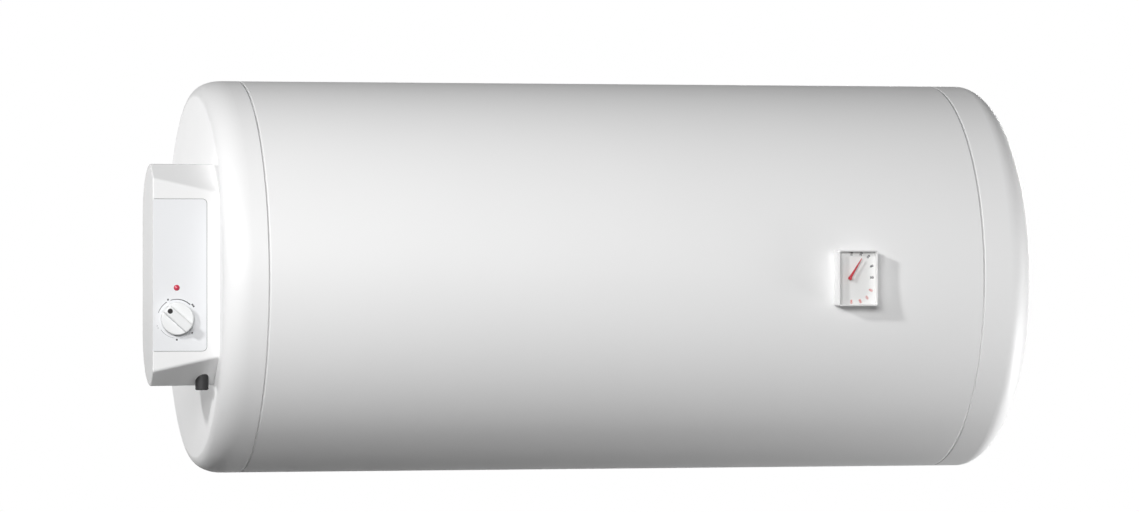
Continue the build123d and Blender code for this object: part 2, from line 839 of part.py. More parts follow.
with BuildPart() as inlet_diffuser:
    with BuildSketch(Plane.YZ.offset(inlet_tip_x - diffuser_gap)):
        with Locations((pipe_y, inlet_z)):
            Circle(diffuser_radius)
            Circle(pipe_radius, mode=Mode.SUBTRACT)
    extrude(amount=diffuser_wall)
    with BuildSketch(Plane.YZ.offset(inlet_tip_x - diffuser_gap)):
        with Locations((pipe_y, inlet_z)):
            Circle(diffuser_radius)
            Circle(diffuser_radius - diffuser_wall, mode=Mode.SUBTRACT)
    extrude(amount=diffuser_length)
    with BuildSketch(Plane.YZ.offset(inlet_tip_x - diffuser_gap + diffuser_length)):
        with Locations((pipe_y, inlet_z)):
            Circle(diffuser_radius)
    extrude(amount=diffuser_wall)
    with BuildSketch(front_plane(pipe_y)):
        with Locations((inlet_tip_x - diffuser_gap + diffuser_window_from_end, inlet_z)):
            Rectangle(diffuser_window_length, diffuser_window_height, align=(Align.MIN, Align.CENTER))
    extrude(amount=diffuser_radius, both=True, mode=Mode.SUBTRACT)
inlet_diffuser.part.label = "inlet_diffuser"
export_step(inlet_diffuser.part, "parts/inlet_diffuser.step")

# Service cover over the flange

with BuildPart() as service_cover:
    with BuildSketch(Plane.YZ.offset(cap_face_x)):
        with Locations((flange_y, 0)):
            Circle(service_radius)
    extrude(amount=-service_depth)
    fillet(service_cover.edges().sort_by(Axis.X)[0], service_edge_round)
    with BuildSketch(Plane.YZ.offset(cap_face_x)):
        with Locations((flange_y, 0)):
            Circle(service_radius + service_rim)
        for side in (-1, 1):
            with Locations((flange_y, side * service_ear_out)):
                Circle(service_ear_radius)
    extrude(amount=-service_wall)
    with BuildSketch(Plane.YZ.offset(cap_face_x)):
        with Locations((flange_y, 0)):
            Circle(service_radius - service_wall)
    extrude(amount=-(service_depth - service_edge_round), mode=Mode.SUBTRACT)
    with BuildSketch(Plane.YZ.offset(cap_face_x - service_depth + service_edge_round)):
        with Locations((flange_y, 0)):
            Circle(service_radius - service_edge_round)
    extrude(amount=-(service_edge_round - service_wall), mode=Mode.SUBTRACT)
    with BuildSketch(Plane.YZ.offset(cap_face_x)):
        with Locations(*ear_places):
            Circle(small_screw_radius)
    extrude(amount=-service_wall, mode=Mode.SUBTRACT)
service_cover.part.label = "service_cover"
export_step(service_cover.part, "parts/service_cover.step")

with BuildPart() as service_screws:
    head_x = cap_face_x - service_wall
    with BuildSketch(Plane.YZ.offset(head_x)):
        with Locations(*ear_places):
            Circle(small_head_radius)
    extrude(amount=-small_head_height)
    with BuildSketch(Plane.YZ.offset(head_x)):
        with Locations(*ear_places):
            Circle(small_screw_radius)
    extrude(amount=service_wall + cap_wall)
    with BuildSketch(Plane.YZ.offset(head_x - small_head_height)):
        with Locations(*ear_places):
            Rectangle(small_slot_length, screw_slot_width)
            Rectangle(screw_slot_width, small_slot_length)
    extrude(amount=screw_slot_depth, mode=Mode.SUBTRACT)
service_screws.part.label = "service_screws"
export_step(service_screws.part, "parts/service_screws.step")

# Wall brackets, the posts that carry the tank on them, and their screws

screw_cone = bracket_screw_head - bracket_screw_radius


def on_saddle(z, radius):
    """Point of the bracket's saddle arc at the given height."""
    return (axis_y + sqrt(radius**2 - z**2), z)


def bracket_section():
    """Closed side outline of a wall bracket: two ears on the wall and a saddle on the jacket."""
    saddle = bracket_saddle / 2
    ear = bracket_ear_start
    end = bracket_height / 2
    inner = jacket_r + seat_clearance
    outer = inner + bracket_thickness
    ThreePointArc(on_saddle(-saddle, outer), (axis_y + outer, 0), on_saddle(saddle, outer))
    Polyline(on_saddle(saddle, outer), (0, ear), (0, end), (-bracket_thickness, end),
             (-bracket_thickness, ear), on_saddle(saddle, inner))
    ThreePointArc(on_saddle(saddle, inner), (axis_y + inner, 0), on_saddle(-saddle, inner))
    Polyline(on_saddle(-saddle, inner), (-bracket_thickness, -ear),
             (-bracket_thickness, -end), (0, -end), (0, -ear), on_saddle(-saddle, outer))


def build_bracket(centre_x):
    """Wall bracket centred on centre_x, with one slot along X in each ear."""
    with BuildPart() as bracket:
        with BuildSketch(Plane.YZ.offset(centre_x - bracket_width / 2)):
            with BuildLine():
                bracket_section()
            make_face()
        extrude(amount=bracket_width)
        with BuildSketch(front_plane(0)):
            with Locations((centre_x, bolt_spacing_z / 2), (centre_x, -bolt_spacing_z / 2)):
                SlotOverall(slot_length, slot_width)
            with Locations((centre_x - screw_step, 0), (centre_x + screw_step, 0)):
                Circle(bracket_screw_radius)
        extrude(amount=wall_gap + bracket_thickness, mode=Mode.SUBTRACT)
        with Locations(front_plane(saddle_y)):
            with Locations((centre_x - screw_step, 0, 0), (centre_x + screw_step, 0, 0)):
                Cone(bracket_screw_radius, bracket_screw_head, screw_cone,
                     rotation=(180, 0, 0), align=(Align.CENTER, Align.CENTER, Align.MAX), mode=Mode.SUBTRACT)
    return bracket


wall_bracket_control = build_bracket(-bracket_spacing / 2)
wall_bracket_control.part.label = "wall_bracket_control"
export_step(wall_bracket_control.part, "parts/wall_bracket_control.step")

wall_bracket_dome = build_bracket(bracket_spacing / 2)
wall_bracket_dome.part.label = "wall_bracket_dome"
export_step(wall_bracket_dome.part, "parts/wall_bracket_dome.step")

with BuildPart() as hanger_posts:
    with BuildSketch(front_plane(axis_y)):
        with Locations(*bracket_places):
            Rectangle(post_width, post_height)
    extrude(amount=-jacket_diameter)
    with BuildSketch(Plane.YZ):
        with Locations((axis_y, 0)):
            Circle(jacket_r - jacket_wall - seat_clearance)
    extrude(amount=bracket_spacing, both=True, mode=Mode.INTERSECT)
    with BuildSketch(front_plane(axis_y)):
        with Locations(*bracket_places):
            Rectangle(post_width - 2 * post_wall, post_height - 2 * post_wall)
    extrude(amount=-(jacket_r - jacket_wall - post_end_wall), mode=Mode.SUBTRACT)
    with BuildSketch(Plane.YZ):
        with Locations((axis_y, 0)):
            Circle(tank_r + seat_clearance)
    extrude(amount=bracket_spacing, both=True, mode=Mode.SUBTRACT)
    with BuildSketch(front_plane(axis_y)):
        with Locations(*bracket_screw_places):
            Circle(bracket_screw_radius)
    extrude(amount=-jacket_diameter, mode=Mode.SUBTRACT)
hanger_posts.part.label = "hanger_posts"
export_step(hanger_posts.part, "parts/hanger_posts.step")

with BuildPart() as bracket_screws:
    for screw_x, screw_z in bracket_screw_places:
        with BuildSketch(Plane.XY.offset(screw_z)):
            with BuildLine():
                Polyline((screw_x, saddle_y), (screw_x + bracket_screw_head, saddle_y),
                         (screw_x + bracket_screw_radius, saddle_y - screw_cone),
                         (screw_x + bracket_screw_radius, saddle_y - bracket_screw_length),
                         (screw_x, saddle_y - bracket_screw_length), close=True)
            make_face()
        revolve(axis=Axis((screw_x, saddle_y, screw_z), (0, 1, 0)))
bracket_screws.part.label = "bracket_screws"
export_step(bracket_screws.part, "parts/bracket_screws.step")

# Control box on the cap's face

cover_screw_x = cap_face_x - cover_screw_from_cap
cover_screw_y = cover_front_y + cover_nose_at_foot + cover_screw_behind_nose
gland_x = cap_face_x - gland_from_cap
gland_y = cover_front_y + gland_behind_front
gland_bottom = cover_lift - cover_half - gland_below


def panel_outline(gap):
    """Sketch outline of the control panel, or of its seat with a gap round it."""
    Rectangle(panel_width + gap, panel_height + 2 * gap, align=(Align.MIN, Align.CENTER))


with BuildPart() as control_cover:
    with BuildSketch(Plane.YZ.offset(cap_face_x)):
        add(cover_section(cap_face_x, 0))
    with BuildSketch(Plane.YZ.offset(cover_end_x)):
        add(cover_section(cover_end_x, 0))
    loft(ruled=True)
    fillet(control_cover.faces().sort_by(Axis.X)[0].edges(), cover_edge_round)
    with BuildSketch(Plane.YZ.offset(cap_face_x)):
        add(cover_section(cap_face_x, cover_wall))
    with BuildSketch(Plane.YZ.offset(cover_end_x + cover_wall)):
        add(cover_section(cover_end_x + cover_wall, cover_wall))
    loft(ruled=True, mode=Mode.SUBTRACT)
    with BuildSketch(front_plane(cover_front_y)) as panel_seat:
        with Locations((cover_end_x, panel_z)):
            panel_outline(panel_gap)
        fillet(panel_seat.vertices().group_by(Axis.X)[-1], panel_corner + panel_gap)
    extrude(amount=-(panel_recess + panel_thickness), mode=Mode.SUBTRACT)
    with BuildSketch(front_plane(cover_front_y)):
        with Locations((knob_x, knob_z)):
            Circle(knob_hole_radius)
        with Locations((knob_x, lamp_z)):
            Circle(lens_radius + lens_clearance)
    extrude(amount=-(cover_wall + cut_margin), mode=Mode.SUBTRACT)
    with BuildSketch(Plane.XY.offset(gland_bottom)):
        with Locations((gland_x, gland_y)):
            Circle(gland_radius + gland_clearance)
    extrude(amount=gland_height, mode=Mode.SUBTRACT)
    for side in (-1, 1):
        skin_z = cover_skin_z(cover_screw_x, cover_screw_y, side)
        with BuildSketch(Plane.XY.offset(skin_z - side * (cover_head_sink + cover_head_height))):
            with Locations((cover_screw_x, cover_screw_y)):
                Circle(cover_head_radius + cover_screw_clearance)
        extrude(amount=side * cover_wall, mode=Mode.SUBTRACT)
        with BuildSketch(Plane.XY.offset(skin_z)):
            with Locations((cover_screw_x, cover_screw_y)):
                Circle(cover_screw_radius + cover_screw_clearance)
        extrude(amount=-side * (cover_wall + cut_margin), mode=Mode.SUBTRACT)
control_cover.part.label = "control_cover"
export_step(control_cover.part, "parts/control_cover.step")

with BuildPart() as control_panel:
    with BuildSketch(front_plane(panel_back_y)) as panel_face:
        with Locations((cover_end_x, panel_z)):
            panel_outline(0)
        fillet(panel_face.vertices().group_by(Axis.X)[-1], panel_corner)
        fillet(panel_face.vertices().group_by(Axis.X)[0], panel_end_corner)
        with Locations((knob_x, knob_z)):
            Circle(knob_hole_radius, mode=Mode.SUBTRACT)
        with Locations((knob_x, lamp_z)):
            Circle(lens_radius + lens_clearance, mode=Mode.SUBTRACT)
    extrude(amount=panel_thickness)
control_panel.part.label = "control_panel"
export_step(control_panel.part, "parts/control_panel.step")

with BuildPart() as cover_screws:
    for side in (-1, 1):
        head_z = cover_skin_z(cover_screw_x, cover_screw_y, side) - side * cover_head_sink
        with BuildSketch(Plane.XY.offset(head_z)):
            with Locations((cover_screw_x, cover_screw_y)):
                Circle(cover_head_radius)
        extrude(amount=-side * cover_head_height)
        with BuildSketch(Plane.XY.offset(head_z)):
            with Locations((cover_screw_x, cover_screw_y)):
                Circle(cover_screw_radius)
        extrude(amount=-side * cover_screw_length)
        with BuildSketch(Plane.XY.offset(head_z)):
            with Locations((cover_screw_x, cover_screw_y)):
                Rectangle(cover_slot_length, screw_slot_width)
                Rectangle(screw_slot_width, cover_slot_length)
        extrude(amount=-side * screw_slot_depth, mode=Mode.SUBTRACT)
cover_screws.part.label = "cover_screws"
export_step(cover_screws.part, "parts/cover_screws.step")

with BuildPart() as cable_gland:
    with BuildSketch(Plane.XY.offset(gland_bottom)):
        with Locations((gland_x, gland_y)):
            Circle(gland_radius)
    extrude(amount=gland_height)
    fillet(cable_gland.edges().sort_by(Axis.Z)[0], gland_collar)
    with BuildSketch(Plane.XY.offset(gland_bottom + gland_height)):
        with Locations((gland_x, gland_y)):
            Circle(gland_radius - gland_collar)
    extrude(amount=-(gland_height - gland_below), mode=Mode.SUBTRACT)
cable_gland.part.label = "cable_gland"
export_step(cable_gland.part, "parts/cable_gland.step")

chassis_x = cap_face_x - chassis_thickness

with BuildPart() as chassis_plate:
    with BuildSketch(Plane.YZ.offset(cap_face_x)):
        add(cover_section(cap_face_x, chassis_inset))
        with Locations((wire_hole_y, wire_hole_z)):
            Circle(wire_hole_radius, mode=Mode.SUBTRACT)
    extrude(amount=-chassis_thickness)
    for side in (-1, 1):
        lug_back_z = cover_skin_z(cap_face_x - lug_reach, cover_screw_y + lug_width / 2, side)
        lug_top = lug_back_z - side * (cover_wall + lug_slope_gap)
        with BuildSketch(Plane.XY.offset(lug_top)):
            with Locations((cap_face_x, cover_screw_y)):
                Rectangle(lug_reach, lug_width, align=(Align.MAX, Align.CENTER))
            with Locations((cover_screw_x, cover_screw_y)):
                Circle(cover_screw_radius, mode=Mode.SUBTRACT)
        extrude(amount=-side * lug_height)
    with BuildSketch(Plane.XY.offset(gland_bottom)):
        with Locations((gland_x, gland_y)):
            Circle(gland_radius + lug_gap)
    extrude(amount=gland_height + lug_gap, mode=Mode.SUBTRACT)
chassis_plate.part.label = "chassis_plate"
export_step(chassis_plate.part, "parts/chassis_plate.step")

cutout_z = panel_z + cutout_above_centre
cutout_top_z = cutout_z + cutout_height / 2
block_z = cover_lift + cover_half - block_below_top
block_foot_z = block_z - block_size_z / 2
plate_back_y = plate_y + plate_thickness
plate_end_x = cover_end_x + cover_wall + plate_end_gap
plate_low = knob_z - thermostat_size / 2 - plate_margin
plate_high = min(cutout_top_z + plate_margin, block_foot_z - block_above_plate)

with BuildPart() as component_plate:
    with BuildSketch(front_plane(plate_back_y)):
        with Locations((chassis_x, plate_low)):
            Rectangle(chassis_x - plate_end_x, plate_high - plate_low, align=(Align.MAX, Align.MIN))
        with Locations((knob_x, knob_z)):
            Circle(knob_hole_radius, mode=Mode.SUBTRACT)
        with Locations((knob_x, lamp_z)):
            Circle(lamp_radius + lamp_hole_clearance, mode=Mode.SUBTRACT)
        with Locations((knob_x, cutout_z)):
            Circle(button_radius + button_clearance, mode=Mode.SUBTRACT)
    extrude(amount=plate_thickness)
    with BuildSketch(Plane.YZ.offset(chassis_x)):
        with Locations((plate_y, plate_low)):
            Rectangle(plate_foot_depth, plate_high - plate_low, align=(Align.MIN, Align.MIN))
        with Locations((wire_hole_y, wire_hole_z)):
            Circle(wire_hole_radius, mode=Mode.SUBTRACT)
    extrude(amount=-plate_thickness)
component_plate.part.label = "component_plate"
export_step(component_plate.part, "parts/component_plate.step")

with BuildPart() as thermostat_body:
    with BuildSketch(front_plane(plate_back_y)):
        with Locations((knob_x, knob_z)):
            RectangleRounded(thermostat_size, thermostat_size, thermostat_corner)
    extrude(amount=-thermostat_depth)
    with BuildSketch(front_plane(plate_back_y)):
        with Locations((knob_x, knob_z)):
            Circle(shaft_radius + shaft_clearance)
    extrude(amount=-(shaft_seat + shaft_end_gap), mode=Mode.SUBTRACT)
thermostat_body.part.label = "thermostat_body"
export_step(thermostat_body.part, "parts/thermostat_body.step")

knob_back_y = panel_front_y - knob_panel_gap
bore_end_y = knob_back_y - (knob_bar_height - knob_wall)



def shaft_section():
    """Sketch of the D-shaped shaft end that carries the knob."""
    with Locations((knob_x, knob_z)):
        Circle(shaft_radius)
    with Locations((knob_x, knob_z + shaft_flat)):
        Rectangle(2 * shaft_radius, shaft_radius, align=(Align.CENTER, Align.MIN), mode=Mode.SUBTRACT)


with BuildPart() as thermostat_shaft:
    with BuildSketch(front_plane(plate_back_y + shaft_seat)):
        with Locations((knob_x, knob_z)):
            Circle(shaft_radius)
    extrude(amount=plate_back_y + shaft_seat - knob_back_y)
    with BuildSketch(front_plane(knob_back_y)):
        shaft_section()
    extrude(amount=knob_back_y - bore_end_y - shaft_end_gap)
thermostat_shaft.part.label = "thermostat_shaft"
export_step(thermostat_shaft.part, "parts/thermostat_shaft.step")

knob_plane = turned_plane(knob_x, knob_back_y, knob_z, knob_pointer_angle)

with BuildPart() as thermostat_knob:
    with BuildSketch(knob_plane):
        Circle(knob_diameter / 2)
    extrude(amount=knob_disc_height, taper=knob_taper)
    fillet(thermostat_knob.edges().sort_by(Axis.Y)[0], knob_edge_round)
    with BuildSketch(knob_plane):
        Circle(knob_diameter / 2)
        Rectangle(knob_diameter, knob_bar_width, mode=Mode.INTERSECT)
    extrude(amount=knob_bar_height, taper=knob_taper)
    fillet(thermostat_knob.faces().sort_by(Axis.Y)[0].edges(), knob_bar_round)
    with BuildSketch(knob_plane):
        Circle(knob_diameter / 2 - knob_wall)
        Circle(knob_hub_radius, mode=Mode.SUBTRACT)
    extrude(amount=knob_disc_height - knob_wall, mode=Mode.SUBTRACT)
    with BuildSketch(front_plane(knob_back_y)):
        shaft_section()
    extrude(amount=knob_back_y - bore_end_y, mode=Mode.SUBTRACT)
    with BuildSketch(knob_plane.offset(knob_bar_height)):
        with Locations((dot_from_centre, 0)):
            Circle(dot_radius)
    extrude(amount=-dot_depth, mode=Mode.SUBTRACT)
thermostat_knob.part.label = "thermostat_knob"
export_step(thermostat_knob.part, "parts/thermostat_knob.step")

with BuildPart() as knob_dot:
    with BuildSketch(knob_plane.offset(knob_bar_height - dot_depth)):
        with Locations((dot_from_centre, 0)):
            Circle(dot_radius)
    extrude(amount=dot_depth + dot_stand)
knob_dot.part.label = "knob_dot"
export_step(knob_dot.part, "parts/knob_dot.step")

with BuildPart() as thermal_cutout:
    with BuildSketch(front_plane(plate_back_y)):
        with Locations((knob_x, cutout_z)):
            RectangleRounded(cutout_width, cutout_height, thermostat_corner)
    extrude(amount=-cutout_depth)
    with BuildSketch(front_plane(plate_back_y)):
        with Locations((knob_x, cutout_z)):
            Circle(button_radius + button_clearance)
    extrude(amount=-(button_seat + button_travel + button_clearance), mode=Mode.SUBTRACT)
thermal_cutout.part.label = "thermal_cutout"
export_step(thermal_cutout.part, "parts/thermal_cutout.step")

with BuildPart() as reset_button:
    with BuildSketch(front_plane(plate_back_y + button_seat)):
        with Locations((knob_x, cutout_z)):
            Circle(button_radius)
    extrude(amount=button_seat + plate_thickness + button_stand)
reset_button.part.label = "reset_button"
export_step(reset_button.part, "parts/reset_button.step")

lamp_front_y = plate_y - lamp_before_plate
lens_sphere = (lens_radius**2 + lens_dome**2) / (2 * lens_dome)

with BuildPart() as lamp_lens:
    with BuildSketch(Plane.YZ.offset(knob_x)):
        with BuildLine():
            Polyline((panel_front_y, lamp_z), (lamp_front_y, lamp_z), (lamp_front_y, lamp_z + lens_radius),
                     (panel_front_y, lamp_z + lens_radius))
            RadiusArc((panel_front_y, lamp_z + lens_radius), (panel_front_y - lens_dome, lamp_z),
                      -lens_sphere)
            Line((panel_front_y - lens_dome, lamp_z), (panel_front_y, lamp_z))
        make_face()
    revolve(axis=Axis((knob_x, panel_front_y, lamp_z), (0, 1, 0)))
lamp_lens.part.label = "lamp_lens"
export_step(lamp_lens.part, "parts/lamp_lens.step")

with BuildPart() as lamp_body:
    with BuildSketch(front_plane(lamp_front_y)):
        with Locations((knob_x, lamp_z)):
            Circle(lamp_radius)
    extrude(amount=-lamp_length)
lamp_body.part.label = "lamp_body"
export_step(lamp_body.part, "parts/lamp_body.step")

block_y = wire_hole_y + block_size_y / 2
block_end_x = chassis_x - block_size_x

with BuildPart() as terminal_block:
    with BuildSketch(Plane.YZ.offset(chassis_x)):
        with Locations((block_y, block_z)):
            Rectangle(block_size_y, block_size_z)
    extrude(amount=-block_size_x)
    with BuildSketch(Plane.YZ.offset(block_end_x)):
        with Locations((block_y, block_z)):
            with GridLocations(0, block_pitch, 1, block_ways):
                Circle(block_screw_radius + block_hole_clearance)
    extrude(amount=block_screw_height, mode=Mode.SUBTRACT)
terminal_block.part.label = "terminal_block"
export_step(terminal_block.part, "parts/terminal_block.step")

with BuildPart() as terminal_screws:
    with BuildSketch(Plane.YZ.offset(block_end_x + block_screw_height)):
        with Locations((block_y, block_z)):
            with GridLocations(0, block_pitch, 1, block_ways):
                Circle(block_screw_radius)
    extrude(amount=-(block_screw_height - block_screw_sink))
    with BuildSketch(Plane.YZ.offset(block_end_x)):
        with Locations((block_y, block_z)):
            with GridLocations(0, block_pitch, 1, block_ways):
                Rectangle(2 * block_screw_radius, screw_slot_width)
    extrude(amount=block_screw_sink + screw_slot_depth, mode=Mode.SUBTRACT)
terminal_screws.part.label = "terminal_screws"
export_step(terminal_screws.part, "parts/terminal_screws.step")

# Wires and capillary: straight runs behind the cap's face, then up to the parts they serve

wire_x = cap_face_x + wire_level
wire_outer_x = wire_x - wire_level_step
low_z = wire_hole_z + wire_row_low
high_z = wire_hole_z + wire_row_high
turn_y = flange_y - wire_turn_in
live_y = wire_hole_y - wire_spread
neutral_y = wire_hole_y + wire_spread
neutral_x = chassis_x - block_size_x / 2
earth_x = neutral_x - wire_pitch
thermostat_top_z = knob_z + thermostat_size / 2
cutout_foot_z = cutout_z - cutout_height / 2


def build_wire(points, radius, bend):
    """Round wire of the given radius along the points, bent at each corner."""
    with BuildPart() as wire:
        with BuildLine() as route:
            if len(points) > 2:
                FilletPolyline(*points, radius=bend)
            else:
                Line(*points)
        with BuildSketch(Plane(origin=route.line @ 0, z_dir=route.line % 0)):
            Circle(radius)
        sweep(path=route.line)
    return wire


bulb_end_x = pocket_mouth_x + pocket_length - bulb_end_gap
capillary_tube = build_wire([
    (bulb_end_x - bulb_length, flange_y, pocket_offset_z),
    (wire_x, flange_y, pocket_offset_z),
    (wire_x, wire_hole_y, pocket_offset_z),
    (knob_x, wire_hole_y, pocket_offset_z),
    (knob_x, wire_hole_y, thermostat_top_z),
], capillary_radius, capillary_bend)

with BuildPart() as thermostat_capillary:
    with BuildSketch(Plane.YZ.offset(bulb_end_x)):
        with Locations((flange_y, pocket_offset_z)):
            Circle(bulb_radius)
    extrude(amount=-bulb_length)
    add(capillary_tube.part)
thermostat_capillary.part.label = "thermostat_capillary"
export_step(thermostat_capillary.part, "parts/thermostat_capillary.step")

leg_pitch, leg_z, leg_length = element_legs[-1]

wire_live = build_wire([
    (tab_x, flange_y - leg_pitch, leg_z),
    (wire_x, flange_y - leg_pitch, leg_z),
    (wire_x, turn_y, low_z),
    (wire_x, live_y, low_z),
    (knob_x, live_y, low_z),
    (knob_x, live_y, cutout_foot_z),
], wire_radius, wire_bend)
wire_live.part.label = "wire_live"
export_step(wire_live.part, "parts/wire_live.step")

wire_neutral = build_wire([
    (tab_x, flange_y + leg_pitch, leg_z),
    (wire_outer_x, flange_y + leg_pitch, leg_z),
    (wire_outer_x, turn_y + wire_pitch, low_z),
    (wire_outer_x, neutral_y, low_z),
    (neutral_x, neutral_y, low_z),
    (neutral_x, neutral_y, block_foot_z),
], wire_radius, wire_bend)
wire_neutral.part.label = "wire_neutral"
export_step(wire_neutral.part, "parts/wire_neutral.step")

earth_angle = radians(earth_stud * 360 / stud_count)
earth_y = flange_y + stud_circle_radius * cos(earth_angle)
earth_z = stud_circle_radius * sin(earth_angle)

wire_earth = build_wire([
    (stud_end_x, earth_y, earth_z),
    (wire_x, earth_y, earth_z),
    (wire_x, turn_y, high_z),
    (wire_x, wire_hole_y, high_z),
    (earth_x, wire_hole_y, high_z),
    (earth_x, wire_hole_y, block_foot_z),
], wire_radius, wire_bend)
wire_earth.part.label = "wire_earth"
export_step(wire_earth.part, "parts/wire_earth.step")

link_x = knob_x - link_side_step
link_wire = build_wire([
    (link_x, live_y, cutout_foot_z),
    (link_x, live_y, thermostat_top_z),
], wire_radius, wire_bend)

supply_x = knob_x + supply_side_step
supply_y = plate_back_y + cutout_depth + wire_spread
supply_z = block_foot_z - supply_below_block
supply_wire = build_wire([
    (supply_x, supply_y, thermostat_top_z),
    (supply_x, supply_y, supply_z),
    (earth_x, block_y, supply_z),
    (earth_x, block_y, block_foot_z),
], wire_radius, wire_bend)

with BuildPart() as wire_links:
    add(link_wire.part)
    add(supply_wire.part)
wire_links.part.label = "wire_links"
export_step(wire_links.part, "parts/wire_links.step")

# Thermometer on the jacket

cavity_width = gauge_width - 2 * gauge_wall
cavity_height = gauge_height - 2 * gauge_wall
cavity_corner = gauge_corner - gauge_wall + gauge_fit
dial_front_y = gauge_floor_y - dial_thickness
needle_back_y = dial_front_y - needle_stand
stem_front_y = gauge_floor_y + stem_cover
stem_back_y = axis_y - tank_r - foam_clearance
stem_bore_radius = spindle_radius + shaft_clearance

with BuildPart() as gauge_housing:
    with BuildSketch(front_plane(gauge_front_y)):
        with Locations((gauge_x, gauge_z)):
            RectangleRounded(gauge_width, gauge_height, gauge_corner)
    extrude(amount=-(gauge_stand + gauge_skirt))
    fillet(gauge_housing.faces().sort_by(Axis.Y)[0].edges(), gauge_edge_round)
    with BuildSketch(Plane.YZ.offset(gauge_x)):
        with Locations((axis_y, 0)):
            Circle(jacket_r + seat_clearance)
    extrude(amount=gauge_width, both=True, mode=Mode.SUBTRACT)
    with BuildSketch(front_plane(gauge_front_y)):
        with Locations((gauge_x, gauge_z)):
            RectangleRounded(cavity_width, cavity_height, cavity_corner)
    extrude(amount=-gauge_cavity, mode=Mode.SUBTRACT)
    with BuildSketch(front_plane(gauge_floor_y)):
        with Locations((pivot_x, gauge_z)):
            Circle(stem_bore_radius)
    extrude(amount=-stem_cover, mode=Mode.SUBTRACT)
    with BuildSketch(front_plane(stem_front_y)):
        with Locations((pivot_x, gauge_z)):
            Circle(stem_radius)
    extrude(amount=-gauge_stand, mode=Mode.SUBTRACT)
gauge_housing.part.label = "gauge_housing"
export_step(gauge_housing.part, "parts/gauge_housing.step")

with BuildPart() as gauge_dial:
    with BuildSketch(front_plane(gauge_floor_y)):
        with Locations((gauge_x, gauge_z)):
            RectangleRounded(cavity_width - 2 * gauge_fit, cavity_height - 2 * gauge_fit, cavity_corner)
        with Locations((pivot_x, gauge_z)):
            Circle(stem_bore_radius, mode=Mode.SUBTRACT)
    extrude(amount=dial_thickness)
gauge_dial.part.label = "gauge_dial"
export_step(gauge_dial.part, "parts/gauge_dial.step")

with BuildPart() as gauge_window:
    with BuildSketch(front_plane(gauge_front_y + window_set_back + window_thickness)):
        with Locations((gauge_x, gauge_z)):
            RectangleRounded(cavity_width - 2 * gauge_fit, cavity_height - 2 * gauge_fit, cavity_corner)
    extrude(amount=window_thickness)
gauge_window.part.label = "gauge_window"
export_step(gauge_window.part, "parts/gauge_window.step")

with BuildPart() as gauge_stem:
    with BuildSketch(front_plane(stem_back_y)):
        with Locations((pivot_x, gauge_z)):
            Circle(stem_radius)
    extrude(amount=stem_back_y - stem_front_y)
    with BuildSketch(front_plane(stem_front_y)):
        with Locations((pivot_x, gauge_z)):
            Circle(stem_bore_radius)
    extrude(amount=-stem_bore_depth, mode=Mode.SUBTRACT)
gauge_stem.part.label = "gauge_stem"
export_step(gauge_stem.part, "parts/gauge_stem.step")

needle_plane = turned_plane(pivot_x, needle_back_y, gauge_z, needle_angle)

with BuildPart() as gauge_needle:
    with BuildSketch(needle_plane):
        with BuildLine():
            Polyline((-needle_tail, -needle_base_width / 2), (needle_length, -needle_tip_width / 2),
                     (needle_length, needle_tip_width / 2), (-needle_tail, needle_base_width / 2), close=True)
        make_face()
    extrude(amount=needle_thickness)
    with BuildSketch(needle_plane.offset(needle_thickness)):
        Circle(needle_hub_radius)
    extrude(amount=needle_hub_height)
gauge_needle.part.label = "gauge_needle"
export_step(gauge_needle.part, "parts/gauge_needle.step")

with BuildPart() as gauge_spindle:
    with BuildSketch(front_plane(stem_front_y + stem_bore_depth - shaft_end_gap)):
        with Locations((pivot_x, gauge_z)):
            Circle(spindle_radius)
    extrude(amount=stem_front_y + stem_bore_depth - shaft_end_gap - needle_back_y)
gauge_spindle.part.label = "gauge_spindle"
export_step(gauge_spindle.part, "parts/gauge_spindle.step")

# Sizes and places that the record states

print("axis y", axis_y, "cover half height", cover_half)
print("knob", knob_x, knob_z, "pivot", pivot_x, gauge_z, "reset button z", cutout_z)
print("flange y", flange_y, "pipe y", pipe_y, "pipe end x", pipe_end_x)
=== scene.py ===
"""Looks for a wall-hung storage water heater.

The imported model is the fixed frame. This script gives each of its pieces a finish, adds the prints,
threads and seams that the solids leave out, and sets up the studio and the camera. Sizes in the
classes are in millimetres and the scene is in metres: X runs along the drum to its domed end, Y runs
into the wall and Z is up.
"""

from __future__ import annotations

import logging
import math
from dataclasses import dataclass
from enum import Enum
from typing import Any

import bpy
from mathutils import Matrix, Vector


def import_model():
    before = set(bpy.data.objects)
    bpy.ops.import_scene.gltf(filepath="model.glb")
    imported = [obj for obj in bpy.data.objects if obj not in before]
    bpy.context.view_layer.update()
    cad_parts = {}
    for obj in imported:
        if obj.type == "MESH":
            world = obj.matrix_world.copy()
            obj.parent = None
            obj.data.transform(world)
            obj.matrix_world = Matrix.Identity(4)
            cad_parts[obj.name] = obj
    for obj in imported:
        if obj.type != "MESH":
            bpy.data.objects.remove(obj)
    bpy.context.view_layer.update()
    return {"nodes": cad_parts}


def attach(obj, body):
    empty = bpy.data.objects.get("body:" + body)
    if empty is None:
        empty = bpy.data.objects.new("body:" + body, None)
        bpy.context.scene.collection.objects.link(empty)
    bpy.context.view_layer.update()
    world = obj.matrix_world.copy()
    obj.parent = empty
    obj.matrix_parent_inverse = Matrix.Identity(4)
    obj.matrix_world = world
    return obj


LOG = logging.getLogger("water_heater")
MM = 0.001
# The groove between the jacket and each moulded end: its place from the middle, its half width, and how
# far from it and how deep the edges on both sides are rolled, in millimetres.
GROOVE_X, GROOVE_HALF, ROLL_WIDTH, ROLL_DEPTH = 418.5, 0.4, 1.3, 0.7
